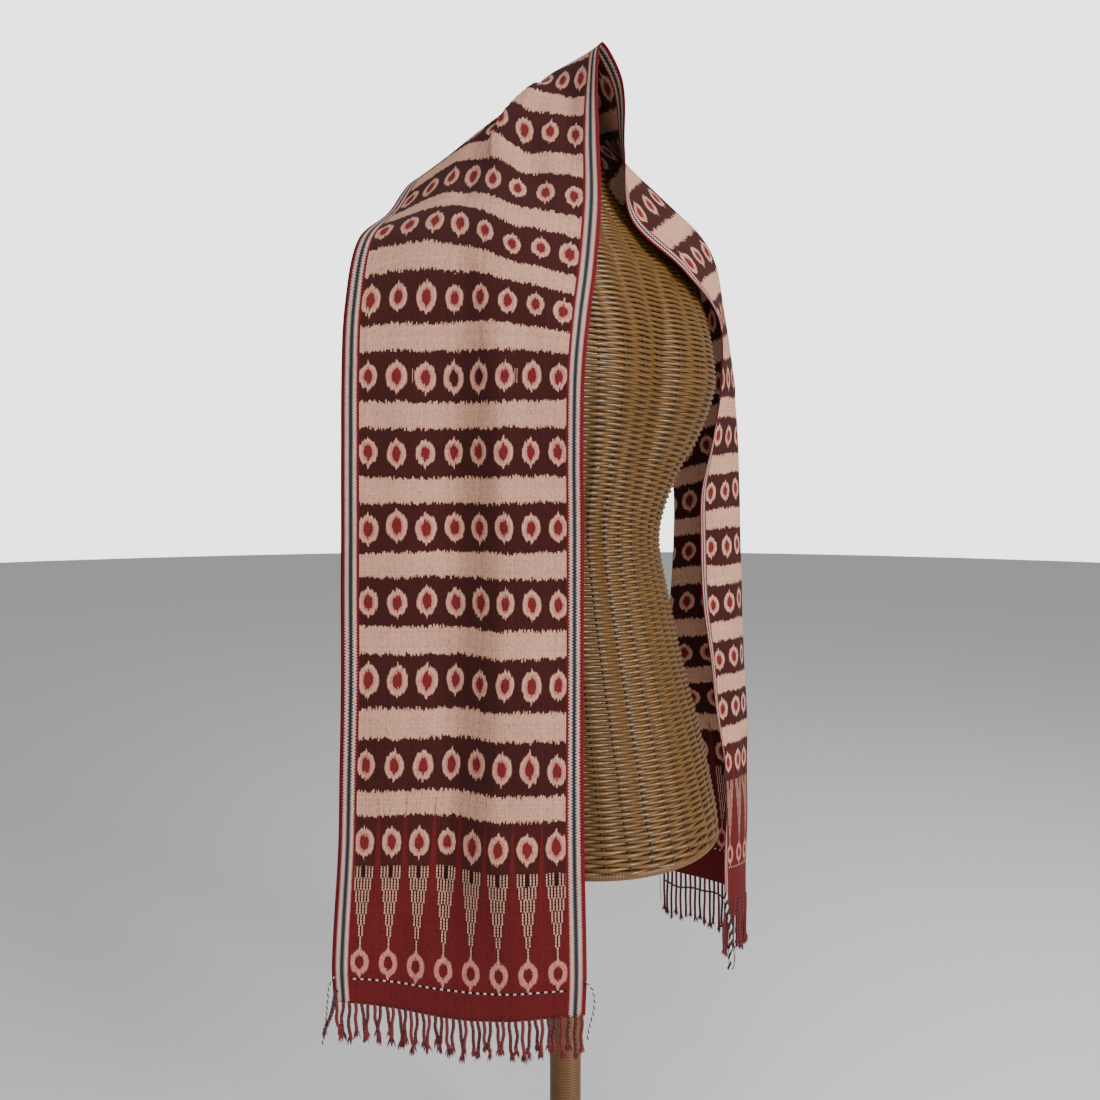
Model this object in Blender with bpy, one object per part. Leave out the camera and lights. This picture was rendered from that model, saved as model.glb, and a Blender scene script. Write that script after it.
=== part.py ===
"""Pua kumbu shawl draped round the neck of a plain dress form on a pole and a round base.

Metres, +Z up. The origin is the middle of the base's underside and the form faces -Y.
The near half of the shawl hangs over the form's right shoulder (-X), the far half over its left.
"""

import math
from collections import namedtuple

import bmesh
import bpy
from mathutils import Vector
from mathutils.bvhtree import BVHTree

MM = 0.001

# Cloth
CLOTH_THICKNESS = 1.6 * MM
FORM_CLEARANCE = 2.2 * MM  # least air between the cloth's middle layer, less half its thickness, and the form
CLOTH_COLUMNS = 16  # cells from selvage to selvage
FINE_STEP = 14.0  # mm between rows of cells near the neck
COARSE_STEP = 30.0  # mm between rows of cells on the hanging ends
FORM_REACH = 40.0 * MM  # further from the form than this the cloth hangs free
LIFT_PASSES = 12
LIFT_EASE = 0.98
NECK_REACH = 200.0  # mm of cloth either side of the nape that takes the fine step
FOLD_START = 0.33  # where the long soft fold of an end begins, as a share of the width from the inner selvage
FOLD_END = 0.56
HEM_FOLD_START = 0.2  # the same at the near hem, where the fold opens out
HEM_FOLD_END = 0.9
HEM_FOLD_FROM = 860.0  # mm from the nape, where it starts to open
TURN_BACK = 0.125  # share of the width that is turned back outwards along the far end's outer selvage
TURN_GAP = 6.0  # mm between the two layers of the turned-back part
TURN_REACH = 0.03  # share of the width that the turn itself takes
TURN_START = (-300.0, -480.0)  # mm from the nape, where the turned-back part opens and closes again
TURN_END = (-980.0, -780.0)
SLOPE_REACH = 0.006  # share of the width either side of a point that gives its direction

# Fringe
PARTING = 0.4 * MM  # air between the cloth's end and the strip that holds the strands
STRIP_HEIGHT = 5.0  # mm along the cloth
STRIP_THICKNESS = 2.4 * MM
STRANDS = 40
NEAR_STRAND = 40.0  # mm
NEAR_TAIL = 50.0  # mm, the corner strand at the inner selvage
FAR_STRAND = 74.0
FAR_TAIL = 106.0
STRAND_SHARE = 0.47  # strand width as a share of the pitch
KNOT_SPREAD = 1.22  # how much wider a strand is at its knotted tip

# Form
FORM_SIDES = 30
LEVEL_SPLITS = 2  # rings of the form's mesh for each level of the table
BUST_ANGLE = math.radians(36)
BUST_SPREAD = math.radians(24)
POLE_RADIUS = 19.5 * MM
POLE_TOP = 530.6 * MM
POLE_SIDES = 20
BASE_RADIUS = 160.0 * MM
BASE_HEIGHT = 26.0 * MM
BASE_EDGE = 6.0 * MM
BASE_SIDES = 40
PART_GAP = 0.4 * MM

# One row per weft line, in mm: how far it is from the nape along the cloth, then three points of it,
# at the inner selvage, half way and at the outer selvage, and the depth of the long soft fold.
Section = namedtuple(
    "Section", "along inner_x inner_y inner_z mid_x mid_y mid_z outer_x outer_y outer_z fold"
)
SECTIONS = [
    Section(1046, -139, -161, 424, -216, -56, 408, -295, 46, 416, 26),
    Section(1003, -137, -161, 465, -214, -54, 452, -295, 49, 455, 26),
    Section(876, -131, -152, 587, -208, -49, 581, -285, 50, 578, 26),
    Section(800, -127, -147, 664, -202, -50, 661, -281, 52, 658, 26),
    Section(724, -124, -144, 747, -196, -50, 746, -277, 54, 744, 26),
    Section(648, -123, -143, 826, -194, -49, 827, -274, 57, 825, 24),
    Section(572, -123, -143, 904, -191, -44, 902, -271, 59, 901, 22),
    Section(496, -122, -141, 976, -188, -41, 977, -268, 62, 978, 18),
    Section(420, -117, -138, 1051, -185, -39, 1053, -264, 66, 1056, 14),
    Section(344, -102, -131, 1110, -177, -32, 1136, -252, 77, 1131, 10),
    Section(268, -83, -123, 1168, -159, -18, 1211, -224, 96, 1209, 8),
    Section(192, -61, -109, 1240, -126, 6, 1277, -165, 126, 1258, 8),
    Section(116, -48, -94, 1313, -88, 24, 1350, -122, 130, 1308, 14),
    Section(40, -38, -82, 1383, -38, 28, 1401, -46, 124, 1342, 8),
    Section(0, -24, -77, 1424, -8, 38, 1413, -4, 124, 1342, 0),
    Section(-40, 4, -81, 1392, 28, 38, 1394, 35, 126, 1340, 0),
    Section(-116, 17, -74, 1323, 80, 14, 1360, 104, 128, 1304, 0),
    Section(-192, 27, -76, 1249, 137, -30, 1313, 172, 86, 1275, 0),
    Section(-268, 77, -113, 1194, 194, -62, 1251, 235, 62, 1215, 0),
    Section(-344, 154, -111, 1150, 236, -54, 1176, 260, 66, 1145, 0),
    Section(-420, 187, -88, 1084, 270, -51, 1095, 279, 62, 1070, 0),
    Section(-496, 196, -69, 1011, 292, -50, 1019, 290, 60, 997, 0),
    Section(-572, 203, -47, 938, 305, -48, 944, 300, 62, 925, 0),
    Section(-648, 207, -44, 865, 314, -46, 866, 304, 66, 850, 0),
    Section(-724, 214, -45, 786, 320, -46, 788, 308, 74, 772, 0),
    Section(-800, 222, -52, 710, 326, -46, 709, 312, 84, 694, 0),
    Section(-876, 229, -59, 638, 330, -46, 638, 316, 92, 620, 0),
    Section(-952, 237, -68, 565, 332, -46, 558, 320, 96, 545, 0),
    Section(-1085, 241, -71, 428, 332, -46, 412, 324, 98, 402, 0),
    Section(-1144, 242, -72, 371, 332, -46, 350, 325, 98, 341, 0),
]

# One row per level of the dress form, in mm.
Level = namedtuple("Level", "height half_width half_depth centre_x centre_y bust")
LEVELS = [
    Level(531, 158, 154, 20, -22, 0),
    Level(570, 158, 150, 18, -20, 0),
    Level(640, 150, 138, 15, -17, 0),
    Level(720, 138, 122, 11, -13, 0),
    Level(800, 127, 108, 7, -9, 0),
    Level(888, 118, 96, 4, -6, 0),
    Level(960, 124, 102, 4, -7, 15),
    Level(1005, 134, 108, 4, -7, 32),
    Level(1060, 149, 118, 3, -6, 40),
    Level(1105, 158, 119, 6, -6, 32),
    Level(1145, 174, 112, 14, -3, 22),
    Level(1178, 184, 99, 24, -2, 13),
    Level(1200, 187, 90, 31, -1, 9),
    Level(1220, 179, 80, 30, 2, 7),
    Level(1245, 139, 70, 29, 6, 3),
    Level(1270, 98, 62, 15, 10, 0),
    Level(1298, 63, 54, 5, 12, 0),
    Level(1330, 52, 50, 0, 12, 0),
    Level(1370, 47, 46, -4, 12, 0),
    Level(1389, 44, 43, -4, 12, 0),
    Level(1395, 36, 35, -4, 12, 0),
]

MATERIALS = {
    "form_torso": ((0.36, 0.20, 0.07, 1.0), 0.55),
    "form_pole": ((0.25, 0.11, 0.03, 1.0), 0.5),
    "form_base": ((0.16, 0.07, 0.03, 1.0), 0.45),
    "shawl_cloth": ((0.30, 0.10, 0.08, 1.0), 0.9),
    "fringe_near": ((0.22, 0.03, 0.03, 1.0), 0.9),
    "fringe_far": ((0.20, 0.03, 0.03, 1.0), 0.9),
}


def clear_scene():
    """Remove every object of the start-up scene."""
    for obj in list(bpy.data.objects):
        bpy.data.objects.remove(obj, do_unlink=True)


def curve_value(keys, values, at):
    """A smooth value between keyed values, with slopes from the neighbours on both sides."""
    last = len(keys) - 1
    i = 0
    while i < last - 1 and at > keys[i + 1]:
        i += 1
    span = keys[i + 1] - keys[i]
    u = (at - keys[i]) / span

    def slope(k):
        a = max(k - 1, 0)
        b = min(k + 1, last)
        return (values[b] - values[a]) / (keys[b] - keys[a])

    start = (1 + 2 * u) * (1 - u) ** 2 * values[i] + u * (1 - u) ** 2 * span * slope(i)
    end = u * u * (3 - 2 * u) * values[i + 1] - u * u * (1 - u) * span * slope(i + 1)
    return start + end


def section_at(along):
    """The section of the cloth at a distance in mm from the nape."""
    rows = SECTIONS[::-1]
    keys = [row.along for row in rows]
    columns = [curve_value(keys, [row[c] for row in rows], along) for c in range(1, 11)]
    return Section(along, *columns)


def smooth(low, high, value):
    """Rise softly from 0 at low to 1 at high."""
    u = min(max((value - low) / (high - low), 0.0), 1.0)
    return u * u * (3 - 2 * u)


def fold_offset(along, share):
    """The soft fold across the width: from in front of the straight line to behind it."""
    open_out = smooth(HEM_FOLD_FROM, SECTIONS[0].along, along)
    start = FOLD_START + (HEM_FOLD_START - FOLD_START) * open_out
    end = FOLD_END + (HEM_FOLD_END - FOLD_END) * open_out
    return share - smooth(start, end, share)


def cloth_point(along, share):
    """A point of the cloth's middle layer, at a share of the width from the inner selvage."""
    s = section_at(along)
    flat = 1.0 - TURN_BACK * smooth(*TURN_START, along) * smooth(*TURN_END, along)
    turned = max(share - flat, 0.0)
    place = (min(share, flat) - turned) / flat
    keys = (0.0, 0.5, 1.0)
    xs = (s.inner_x, s.mid_x, s.outer_x)
    ys = (s.inner_y, s.mid_y, s.outer_y)
    zs = (s.inner_z, s.mid_z, s.outer_z)
    point = Vector([curve_value(keys, values, place) for values in (xs, ys, zs)])
    out = Vector((s.inner_y - s.outer_y, s.outer_x - s.inner_x, 0.0)).normalized()
    offset = s.fold * fold_offset(along, place) - TURN_GAP * min(turned / TURN_REACH, 1.0)
    return (point + out * offset) * MM


def cloth_normal(along, share):
    """The outward normal of the cloth's middle layer."""
    a0, a1 = max(along - 4, SECTIONS[-1].along), min(along + 4, SECTIONS[0].along)
    t0, t1 = max(share - SLOPE_REACH, 0.0), min(share + SLOPE_REACH, 1.0)
    down = cloth_point(a1, share) - cloth_point(a0, share)
    across = cloth_point(along, t1) - cloth_point(along, t0)
    return across.cross(down).normalized()


def new_object(name, bm):
    """Turn a bmesh into a named object with its own material."""
    bmesh.ops.recalc_face_normals(bm, faces=bm.faces)
    mesh = bpy.data.meshes.new(name)
    bm.to_mesh(mesh)
    bm.free()
    obj = bpy.data.objects.new(name, mesh)
    bpy.context.scene.collection.objects.link(obj)
    colour, roughness = MATERIALS[name]
    material = bpy.data.materials.new(name)
    material.use_nodes = True
    shader = material.node_tree.nodes["Principled BSDF"]
    shader.inputs["Base Color"].default_value = colour
    shader.inputs["Roughness"].default_value = roughness
    shader.inputs["Metallic"].default_value = 0.0
    mesh.materials.append(material)
    return obj


def join_rings(bm, rings):
    """Close the side between rings of equal length, and cap both ends."""
    for low, high in zip(rings, rings[1:]):
        count = len(low)
        for i in range(count):
            j = (i + 1) % count
            bm.faces.new((low[i], low[j], high[j], high[i]))
    bm.faces.new(rings[0][::-1])
    bm.faces.new(rings[-1])


def form_ring(level):
    """The outline of the form at one level, as points."""
    points = []
    for i in range(FORM_SIDES):
        angle = 2 * math.pi * i / FORM_SIDES
        x = level.half_width * math.sin(angle)
        y = -level.half_depth * math.cos(angle)
        reach = math.hypot(x, y)
        turn = abs((angle + math.pi) % (2 * math.pi) - math.pi)
        swell = level.bust * math.exp(-0.5 * ((turn - BUST_ANGLE) / BUST_SPREAD) ** 2)
        x *= 1 + swell / reach
        y *= 1 + swell / reach
        points.append(Vector((x + level.centre_x, y + level.centre_y, level.height)) * MM)
    return points


def form_levels():
    """The table's levels with smooth ones between them."""
    numbers = range(len(LEVELS))
    levels = []
    for step in range((len(LEVELS) - 1) * LEVEL_SPLITS + 1):
        at = step / LEVEL_SPLITS
        levels.append(Level(*[curve_value(numbers, [row[c] for row in LEVELS], at) for c in range(6)]))
    return levels


def build_torso():
    """The dress form's body and neck, lofted through its levels."""
    bm = bmesh.new()
    rings = [[bm.verts.new(p) for p in form_ring(level)] for level in form_levels()]
    join_rings(bm, rings)
    bmesh.ops.triangulate(bm, faces=[f for f in bm.faces if len(f.verts) == 4])
    return new_object("form_torso", bm)


def build_turned(name, outline, sides):
    """A turned piece from its outline of (radius, height) pairs."""
    bm = bmesh.new()
    rings = []
    for radius, height in outline:
        ring = []
        for i in range(sides):
            angle = 2 * math.pi * i / sides
            ring.append(bm.verts.new((radius * math.cos(angle), radius * math.sin(angle), height)))
        rings.append(ring)
    join_rings(bm, rings)
    return new_object(name, bm)


def build_pole():
    """The straight pole from the base up to the form."""
    low = BASE_HEIGHT + PART_GAP
    outline = [(POLE_RADIUS, low), (POLE_RADIUS, POLE_TOP)]
    return build_turned("form_pole", outline, POLE_SIDES)


def build_base():
    """The round base with an eased top edge."""
    outline = [
        (BASE_RADIUS, 0.0),
        (BASE_RADIUS, BASE_HEIGHT - BASE_EDGE),
        (BASE_RADIUS - BASE_EDGE, BASE_HEIGHT),
    ]
    return build_turned("form_base", outline, BASE_SIDES)


def row_places():
    """Where the rows of cells lie along the cloth, from the near end to the far one."""
    near_end = SECTIONS[0].along - STRIP_HEIGHT - PARTING / MM
    far_end = SECTIONS[-1].along + STRIP_HEIGHT + PARTING / MM
    coarse_near = round((near_end - NECK_REACH) / COARSE_STEP)
    fine = round(2 * NECK_REACH / FINE_STEP)
    coarse_far = round((-NECK_REACH - far_end) / COARSE_STEP)
    places = [near_end + (NECK_REACH - near_end) * i / coarse_near for i in range(coarse_near)]
    places += [NECK_REACH - 2 * NECK_REACH * i / fine for i in range(fine)]
    places += [-NECK_REACH + (far_end + NECK_REACH) * i / coarse_far for i in range(coarse_far + 1)]
    return places


def lift_needed(point, normal, tree):
    """How far a point of the cloth's middle layer has to move along its normal to clear the form."""
    least = FORM_CLEARANCE + CLOTH_THICKNESS / 2
    place, face_normal, _, distance = tree.find_nearest(point)
    if distance > FORM_REACH:
        return 0.0
    height = (point - place).dot(face_normal)
    along_normal = max(normal.dot(face_normal), 0.5)
    return max(least - height, 0.0) / along_normal


def eased_lifts(lifts):
    """Spread the lifts over their neighbours, so that the cloth tents over the form softly."""
    for _ in range(LIFT_PASSES):
        before = [row[:] for row in lifts]
        for r, row in enumerate(before):
            for c, own in enumerate(row):
                beside = [row[max(c - 1, 0)], row[min(c + 1, len(row) - 1)]]
                beside += [before[max(r - 1, 0)][c], before[min(r + 1, len(before) - 1)][c]]
                lifts[r][c] = max(own, LIFT_EASE * sum(beside) / 4)
    return lifts


def build_cloth(torso):
    """The draped sheet: an outer and an inner layer over the same cells, closed round the edge."""
    tree = BVHTree.FromPolygons(
        [v.co for v in torso.data.vertices], [tuple(p.vertices) for p in torso.data.polygons]
    )
    shares = [c / CLOTH_COLUMNS for c in range(CLOTH_COLUMNS + 1)]
    middles = [[cloth_point(along, share) for share in shares] for along in row_places()]
    normals = [[cloth_normal(along, share) for share in shares] for along in row_places()]
    lifts = []
    for middle_row, normal_row in zip(middles, normals):
        lifts.append([lift_needed(p, n, tree) for p, n in zip(middle_row, normal_row)])
    lifts = eased_lifts(lifts)
    bm = bmesh.new()
    outer = []
    inner = []
    half = CLOTH_THICKNESS / 2
    for middle_row, normal_row, lift_row in zip(middles, normals, lifts):
        cells = list(zip(middle_row, normal_row, lift_row))
        outer.append([bm.verts.new(p + n * (lift + half)) for p, n, lift in cells])
        inner.append([bm.verts.new(p + n * (lift - half)) for p, n, lift in cells])
    for r in range(len(outer) - 1):
        for c in range(CLOTH_COLUMNS):
            bm.faces.new((outer[r][c], outer[r][c + 1], outer[r + 1][c + 1], outer[r + 1][c]))
            bm.faces.new((inner[r][c], inner[r + 1][c], inner[r + 1][c + 1], inner[r][c + 1]))
        for c in (0, CLOTH_COLUMNS):
            bm.faces.new((outer[r][c], outer[r + 1][c], inner[r + 1][c], inner[r][c]))
    for r in (0, len(outer) - 1):
        for c in range(CLOTH_COLUMNS):
            bm.faces.new((outer[r][c], outer[r][c + 1], inner[r][c + 1], inner[r][c]))
    bmesh.ops.triangulate(bm, faces=bm.faces)
    return new_object("shawl_cloth", bm)


def strand_drop(number, length, tail):
    """How long a strand is, and how far its tip swings along the hem, in mm."""
    if number == 0:
        return tail, 3.0
    if number == STRANDS - 1:
        return length * 1.25, -3.0
    uneven = 4.0 * math.sin(number * 2.4) + 2.5 * math.sin(number * 0.7 + 1.0)
    pair = 1.0 if number % 2 else -1.0
    return length + uneven, pair * (0.5 + 0.5 * math.sin(number * 1.3))


def build_fringe(name, end, strand_length, tail):
    """A narrow strip along the cloth's end with the twisted strands hanging from it."""
    bm = bmesh.new()
    sign = 1 if end > 0 else -1
    edges = []
    for i in range(STRANDS):
        middle = (i + 0.5) / STRANDS
        edges += [middle - STRAND_SHARE / STRANDS / 2, middle + STRAND_SHARE / STRANDS / 2]
    columns = []
    for share in edges:
        corners = []
        for along in (end - sign * STRIP_HEIGHT, end):
            point = cloth_point(along, share)
            normal = cloth_normal(along, share)
            for side in (0.5, -0.5):
                corners.append(bm.verts.new(point + normal * side * STRIP_THICKNESS))
        columns.append(corners)
    for corners in (columns[0], columns[-1]):
        bm.faces.new((corners[0], corners[1], corners[3], corners[2]))
    strand_faces = []
    for k in range(len(columns) - 1):
        a, b = columns[k], columns[k + 1]
        bm.faces.new((a[0], b[0], b[1], a[1]))
        bm.faces.new((a[0], a[2], b[2], b[0]))
        bm.faces.new((a[1], b[1], b[3], a[3]))
        face = bm.faces.new((a[2], a[3], b[3], b[2]))
        if k % 2 == 0:
            strand_faces.append(face)
    for number, face in enumerate(strand_faces):
        length, swing = strand_drop(number, strand_length, tail)
        across = (cloth_point(end, 0.52) - cloth_point(end, 0.48)).normalized()
        for part, spread in ((0.35, 0.96), (0.5, 1.0), (0.15, KNOT_SPREAD)):
            ring = bmesh.ops.extrude_face_region(bm, geom=[face])["geom"]
            bmesh.ops.delete(bm, geom=[face], context="FACES_ONLY")
            face = [g for g in ring if isinstance(g, bmesh.types.BMFace)][0]
            centre = face.calc_center_median()
            move = Vector((0.0, 0.0, -length * part)) * MM + across * swing * part * MM
            for vert in face.verts:
                vert.co = centre + (vert.co - centre) * spread + move
    bmesh.ops.triangulate(bm, faces=bm.faces)
    return new_object(name, bm)


def main():
    """Build every solid of the part."""
    clear_scene()
    torso = build_torso()
    build_pole()
    build_base()
    build_cloth(torso)
    build_fringe("fringe_near", SECTIONS[0].along, NEAR_STRAND, NEAR_TAIL)
    build_fringe("fringe_far", SECTIONS[-1].along, FAR_STRAND, FAR_TAIL)


main()
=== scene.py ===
"""Looks of a pua kumbu shawl draped round the neck of a woven dress form.

The shawl is one long narrow cloth whose warp is tie-dyed before weaving, so each motif has feathered
ends along the warp. The form is woven rattan on a wound pole and a round wooden base. All sizes are
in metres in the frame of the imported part, or in millimetres where a name or a table says so.
"""

import logging
import math
import random
from dataclasses import dataclass, field
from enum import Enum, IntEnum
from functools import lru_cache
from typing import NamedTuple

import bmesh
import bpy
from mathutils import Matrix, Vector, noise
from mathutils.bvhtree import BVHTree

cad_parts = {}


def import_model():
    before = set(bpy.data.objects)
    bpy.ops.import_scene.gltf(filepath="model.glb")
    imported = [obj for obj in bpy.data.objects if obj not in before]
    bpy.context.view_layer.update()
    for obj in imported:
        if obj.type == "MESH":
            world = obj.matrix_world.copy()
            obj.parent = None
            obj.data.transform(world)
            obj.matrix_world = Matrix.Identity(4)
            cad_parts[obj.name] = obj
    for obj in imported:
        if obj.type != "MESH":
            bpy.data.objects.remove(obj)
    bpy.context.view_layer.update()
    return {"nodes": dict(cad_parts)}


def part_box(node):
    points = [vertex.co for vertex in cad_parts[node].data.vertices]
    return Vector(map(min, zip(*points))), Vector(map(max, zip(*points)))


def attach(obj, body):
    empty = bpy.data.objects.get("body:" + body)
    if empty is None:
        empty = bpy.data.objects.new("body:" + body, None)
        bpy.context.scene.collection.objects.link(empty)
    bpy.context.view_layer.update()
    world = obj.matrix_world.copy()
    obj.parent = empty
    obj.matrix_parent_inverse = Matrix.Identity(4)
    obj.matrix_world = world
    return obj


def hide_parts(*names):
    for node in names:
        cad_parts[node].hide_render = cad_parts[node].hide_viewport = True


LOG = logging.getLogger("shawl")
MM = 0.001
ROOT = "root"
# The cloth from selvage to selvage, in mm
CLOTH_WIDTH = 260.0
# The cloth laid flat, without its fringes, in metres
NEAR_LENGTH = 40 * MM
FAR_LENGTH = 74 * MM

Socket = bpy.types.NodeSocket
Colour = tuple[float, float, float]


class Section(NamedTuple):
    """One weft line of the hanging cloth, in mm.

    Attributes:
        along: distance from the nape, below zero on the far half.
        inner_x: the point at the inner selvage, and so on for y and z.
        mid_x: the point half-way across.
        outer_x: the point at the outer selvage.
        fold: height of the long soft fold.
    """

    along: float
    inner_x: float
    inner_y: float
    inner_z: float
    mid_x: float
    mid_y: float
    mid_z: float
    outer_x: float
    outer_y: float
    outer_z: float
    fold: float


class Level(NamedTuple):
    """One level of the dress form, in mm.

    Attributes:
        height: above the floor.
        half_width: from side to side.
        half_depth: from front to back.
        centre_x: how far its middle lies to the form's left.
        centre_y: how far its middle lies to the back.
        bust: how far the bust swells.
    """

    height: float
    half_width: float
    half_depth: float
    centre_x: float
    centre_y: float
    bust: float


SECTIONS = [
    Section(1046, -139, -161, 424, -216, -56, 408, -295, 46, 416, 26),
    Section(1003, -137, -161, 465, -214, -54, 452, -295, 49, 455, 26),
    Section(876, -131, -152, 587, -208, -49, 581, -285, 50, 578, 26),
    Section(800, -127, -147, 664, -202, -50, 661, -281, 52, 658, 26),
    Section(724, -124, -144, 747, -196, -50, 746, -277, 54, 744, 26),
    Section(648, -123, -143, 826, -194, -49, 827, -274, 57, 825, 24),
    Section(572, -123, -143, 904, -191, -44, 902, -271, 59, 901, 22),
    Section(496, -122, -141, 976, -188, -41, 977, -268, 62, 978, 18),
    Section(420, -117, -138, 1051, -185, -39, 1053, -264, 66, 1056, 14),
    Section(344, -102, -131, 1110, -177, -32, 1136, -252, 77, 1131, 10),
    Section(268, -83, -123, 1168, -159, -18, 1211, -224, 96, 1209, 8),
    Section(192, -61, -109, 1240, -126, 6, 1277, -165, 126, 1258, 8),
    Section(116, -48, -94, 1313, -88, 24, 1350, -122, 130, 1308, 14),
    Section(40, -38, -82, 1383, -38, 28, 1401, -46, 124, 1342, 8),
    Section(0, -24, -77, 1424, -8, 38, 1413, -4, 124, 1342, 0),
    Section(-40, 4, -81, 1392, 28, 38, 1394, 35, 126, 1340, 0),
    Section(-116, 17, -74, 1323, 80, 14, 1360, 104, 128, 1304, 0),
    Section(-192, 27, -76, 1249, 137, -30, 1313, 172, 86, 1275, 0),
    Section(-268, 77, -113, 1194, 194, -62, 1251, 235, 62, 1215, 0),
    Section(-344, 154, -111, 1150, 236, -54, 1176, 260, 66, 1145, 0),
    Section(-420, 187, -88, 1084, 270, -51, 1095, 279, 62, 1070, 0),
    Section(-496, 196, -69, 1011, 292, -50, 1019, 290, 60, 997, 0),
    Section(-572, 203, -47, 938, 305, -48, 944, 300, 62, 925, 0),
    Section(-648, 207, -44, 865, 314, -46, 866, 304, 66, 850, 0),
    Section(-724, 214, -45, 786, 320, -46, 788, 308, 74, 772, 0),
    Section(-800, 222, -52, 710, 326, -46, 709, 312, 84, 694, 0),
    Section(-876, 229, -59, 638, 330, -46, 638, 316, 92, 620, 0),
    Section(-952, 237, -68, 565, 332, -46, 558, 320, 96, 545, 0),
    Section(-1085, 241, -71, 428, 332, -46, 412, 324, 98, 402, 0),
    Section(-1144, 242, -72, 371, 332, -46, 350, 325, 98, 341, 0),
]

LEVELS = [
    Level(531, 158, 154, 20, -22, 0),
    Level(570, 158, 150, 18, -20, 0),
    Level(640, 150, 138, 15, -17, 0),
    Level(720, 138, 122, 11, -13, 0),
    Level(800, 127, 108, 7, -9, 0),
    Level(888, 118, 96, 4, -6, 0),
    Level(960, 124, 102, 4, -7, 15),
    Level(1005, 134, 108, 4, -7, 32),
    Level(1060, 149, 118, 3, -6, 40),
    Level(1105, 158, 119, 6, -6, 32),
    Level(1145, 174, 112, 14, -3, 22),
    Level(1178, 184, 99, 24, -2, 13),
    Level(1200, 187, 90, 31, -1, 9),
    Level(1220, 179, 80, 30, 2, 7),
    Level(1245, 139, 70, 29, 6, 3),
    Level(1270, 98, 62, 15, 10, 0),
    Level(1298, 63, 54, 5, 12, 0),
    Level(1330, 52, 50, 0, 12, 0),
    Level(1370, 47, 46, -4, 12, 0),
    Level(1389, 44, 43, -4, 12, 0),
    Level(1395, 36, 35, -4, 12, 0),
    Level(1395.6, 20, 20, -4, 12, 0),
    Level(1396, 3, 3, -4, 12, 0),
]


class Crease(NamedTuple):
    """A soft ridge or trough placed on the cloth, listed one by one.

    Attributes:
        places: its line, as mm from the nape and shares of the width.
        height: in mm, below zero for a trough.
        inner: how wide its side towards the inner selvage is, in mm.
        outer: how wide the other side is, in mm.
    """

    places: tuple[tuple[float, float], ...]
    height: float
    inner: float
    outer: float

    def height_at(self, along: float, share: float) -> float:
        """Its height at one point of the cloth.

        Args:
            along: mm from the nape.
            share: share of the width from the inner selvage.

        Returns:
            The height in mm.
        """
        best, width = math.inf, self.inner
        for (a0, s0), (a1, s1) in zip(self.places, self.places[1:]):
            run, rise = a1 - a0, (s1 - s0) * CLOTH_WIDTH
            across = (share - s0) * CLOTH_WIDTH
            u = min(max(((along - a0) * run + across * rise) / (run * run + rise * rise), 0.0), 1.0)
            side = across - rise * u
            gap = math.hypot(along - a0 - run * u, side)
            if gap < best:
                best, width = gap, self.outer if side > 0 else self.inner
        return self.height * math.exp(-((best / width) ** 2))


CREASES = (
    Crease(((67, 0.37), (90, 0.41), (120, 0.455), (150, 0.475)), 10.0, 20, 5),
    Crease(((90, 0.57), (150, 0.56), (215, 0.57)), -4.0, 12, 14),
    Crease(((150, 0.28), (215, 0.27), (300, 0.24)), -4.0, 20, 22),
    Crease(((60, 0.16), (150, 0.14)), -3.0, 12, 14),
    Crease(((290, 0.47), (420, 0.36), (560, 0.33)), 2.5, 26, 14),
    Crease(((430, 0.78), (620, 0.74), (840, 0.8)), 2.2, 22, 22),
    Crease(((700, 0.6), (860, 0.56), (1000, 0.5)), -2.2, 18, 18),
    Crease(((-240, 0.36), (-330, 0.42), (-430, 0.4)), 3.0, 16, 16),
    Crease(((-560, 0.3), (-760, 0.34), (-980, 0.3)), -2.5, 16, 16),
)

# How far the weft is drawn along the cloth over the near shoulder, in mm at shares of the width
SHEAR = ((0.0, 0.21, 0.325, 0.44, 0.55, 0.66, 0.8, 1.0), (0.0, 6.0, 13.0, 3.0, -7.0, -14.0, -13.0, -5.0))


class Role(Enum):
    """The record's material slots."""

    CLOTH = "shawl_cloth"
    NEAR_FRINGE = "fringe_near"
    FAR_FRINGE = "fringe_far"
    FORM = "form_torso"
    POLE = "form_pole"
    BASE = "form_base"


class Strand(NamedTuple):
    """A tube to be made.

    Attributes:
        points: its line.
        radii: its radius at each point.
        finish: which of its piece's finishes it takes.
        closed: whether it runs round to its start.
    """

    points: list[Vector]
    radii: list[float]
    finish: int = 0
    closed: bool = False


def tone(code: str) -> Colour:
    """Turn a six-digit colour code into linear light.

    Args:
        code: red, green and blue as two hexadecimal digits each.

    Returns:
        The three linear values.
    """
    parts = [int(code[i : i + 2], 16) / 255 for i in (0, 2, 4)]
    return tuple(p / 12.92 if p <= 0.04045 else ((p + 0.055) / 1.055) ** 2.4 for p in parts)


def curve_value(keys: tuple[float, ...], values: tuple[float, ...], at: float) -> float:
    """A smooth value between keyed values, with slopes from the neighbours on both sides.

    Args:
        keys: rising places.
        values: the value at each place.
        at: where the value is wanted.

    Returns:
        The value there.
    """
    last = len(keys) - 1
    i = 0
    while i < last - 1 and at > keys[i + 1]:
        i += 1
    span = keys[i + 1] - keys[i]
    u = (at - keys[i]) / span

    def slope(k: int) -> float:
        """The slope at one key."""
        a, b = max(k - 1, 0), min(k + 1, last)
        return (values[b] - values[a]) / (keys[b] - keys[a])

    start = (1 + 2 * u) * (1 - u) ** 2 * values[i] + u * (1 - u) ** 2 * span * slope(i)
    end = u * u * (3 - 2 * u) * values[i + 1] - u * u * (1 - u) * span * slope(i + 1)
    return start + end


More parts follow.
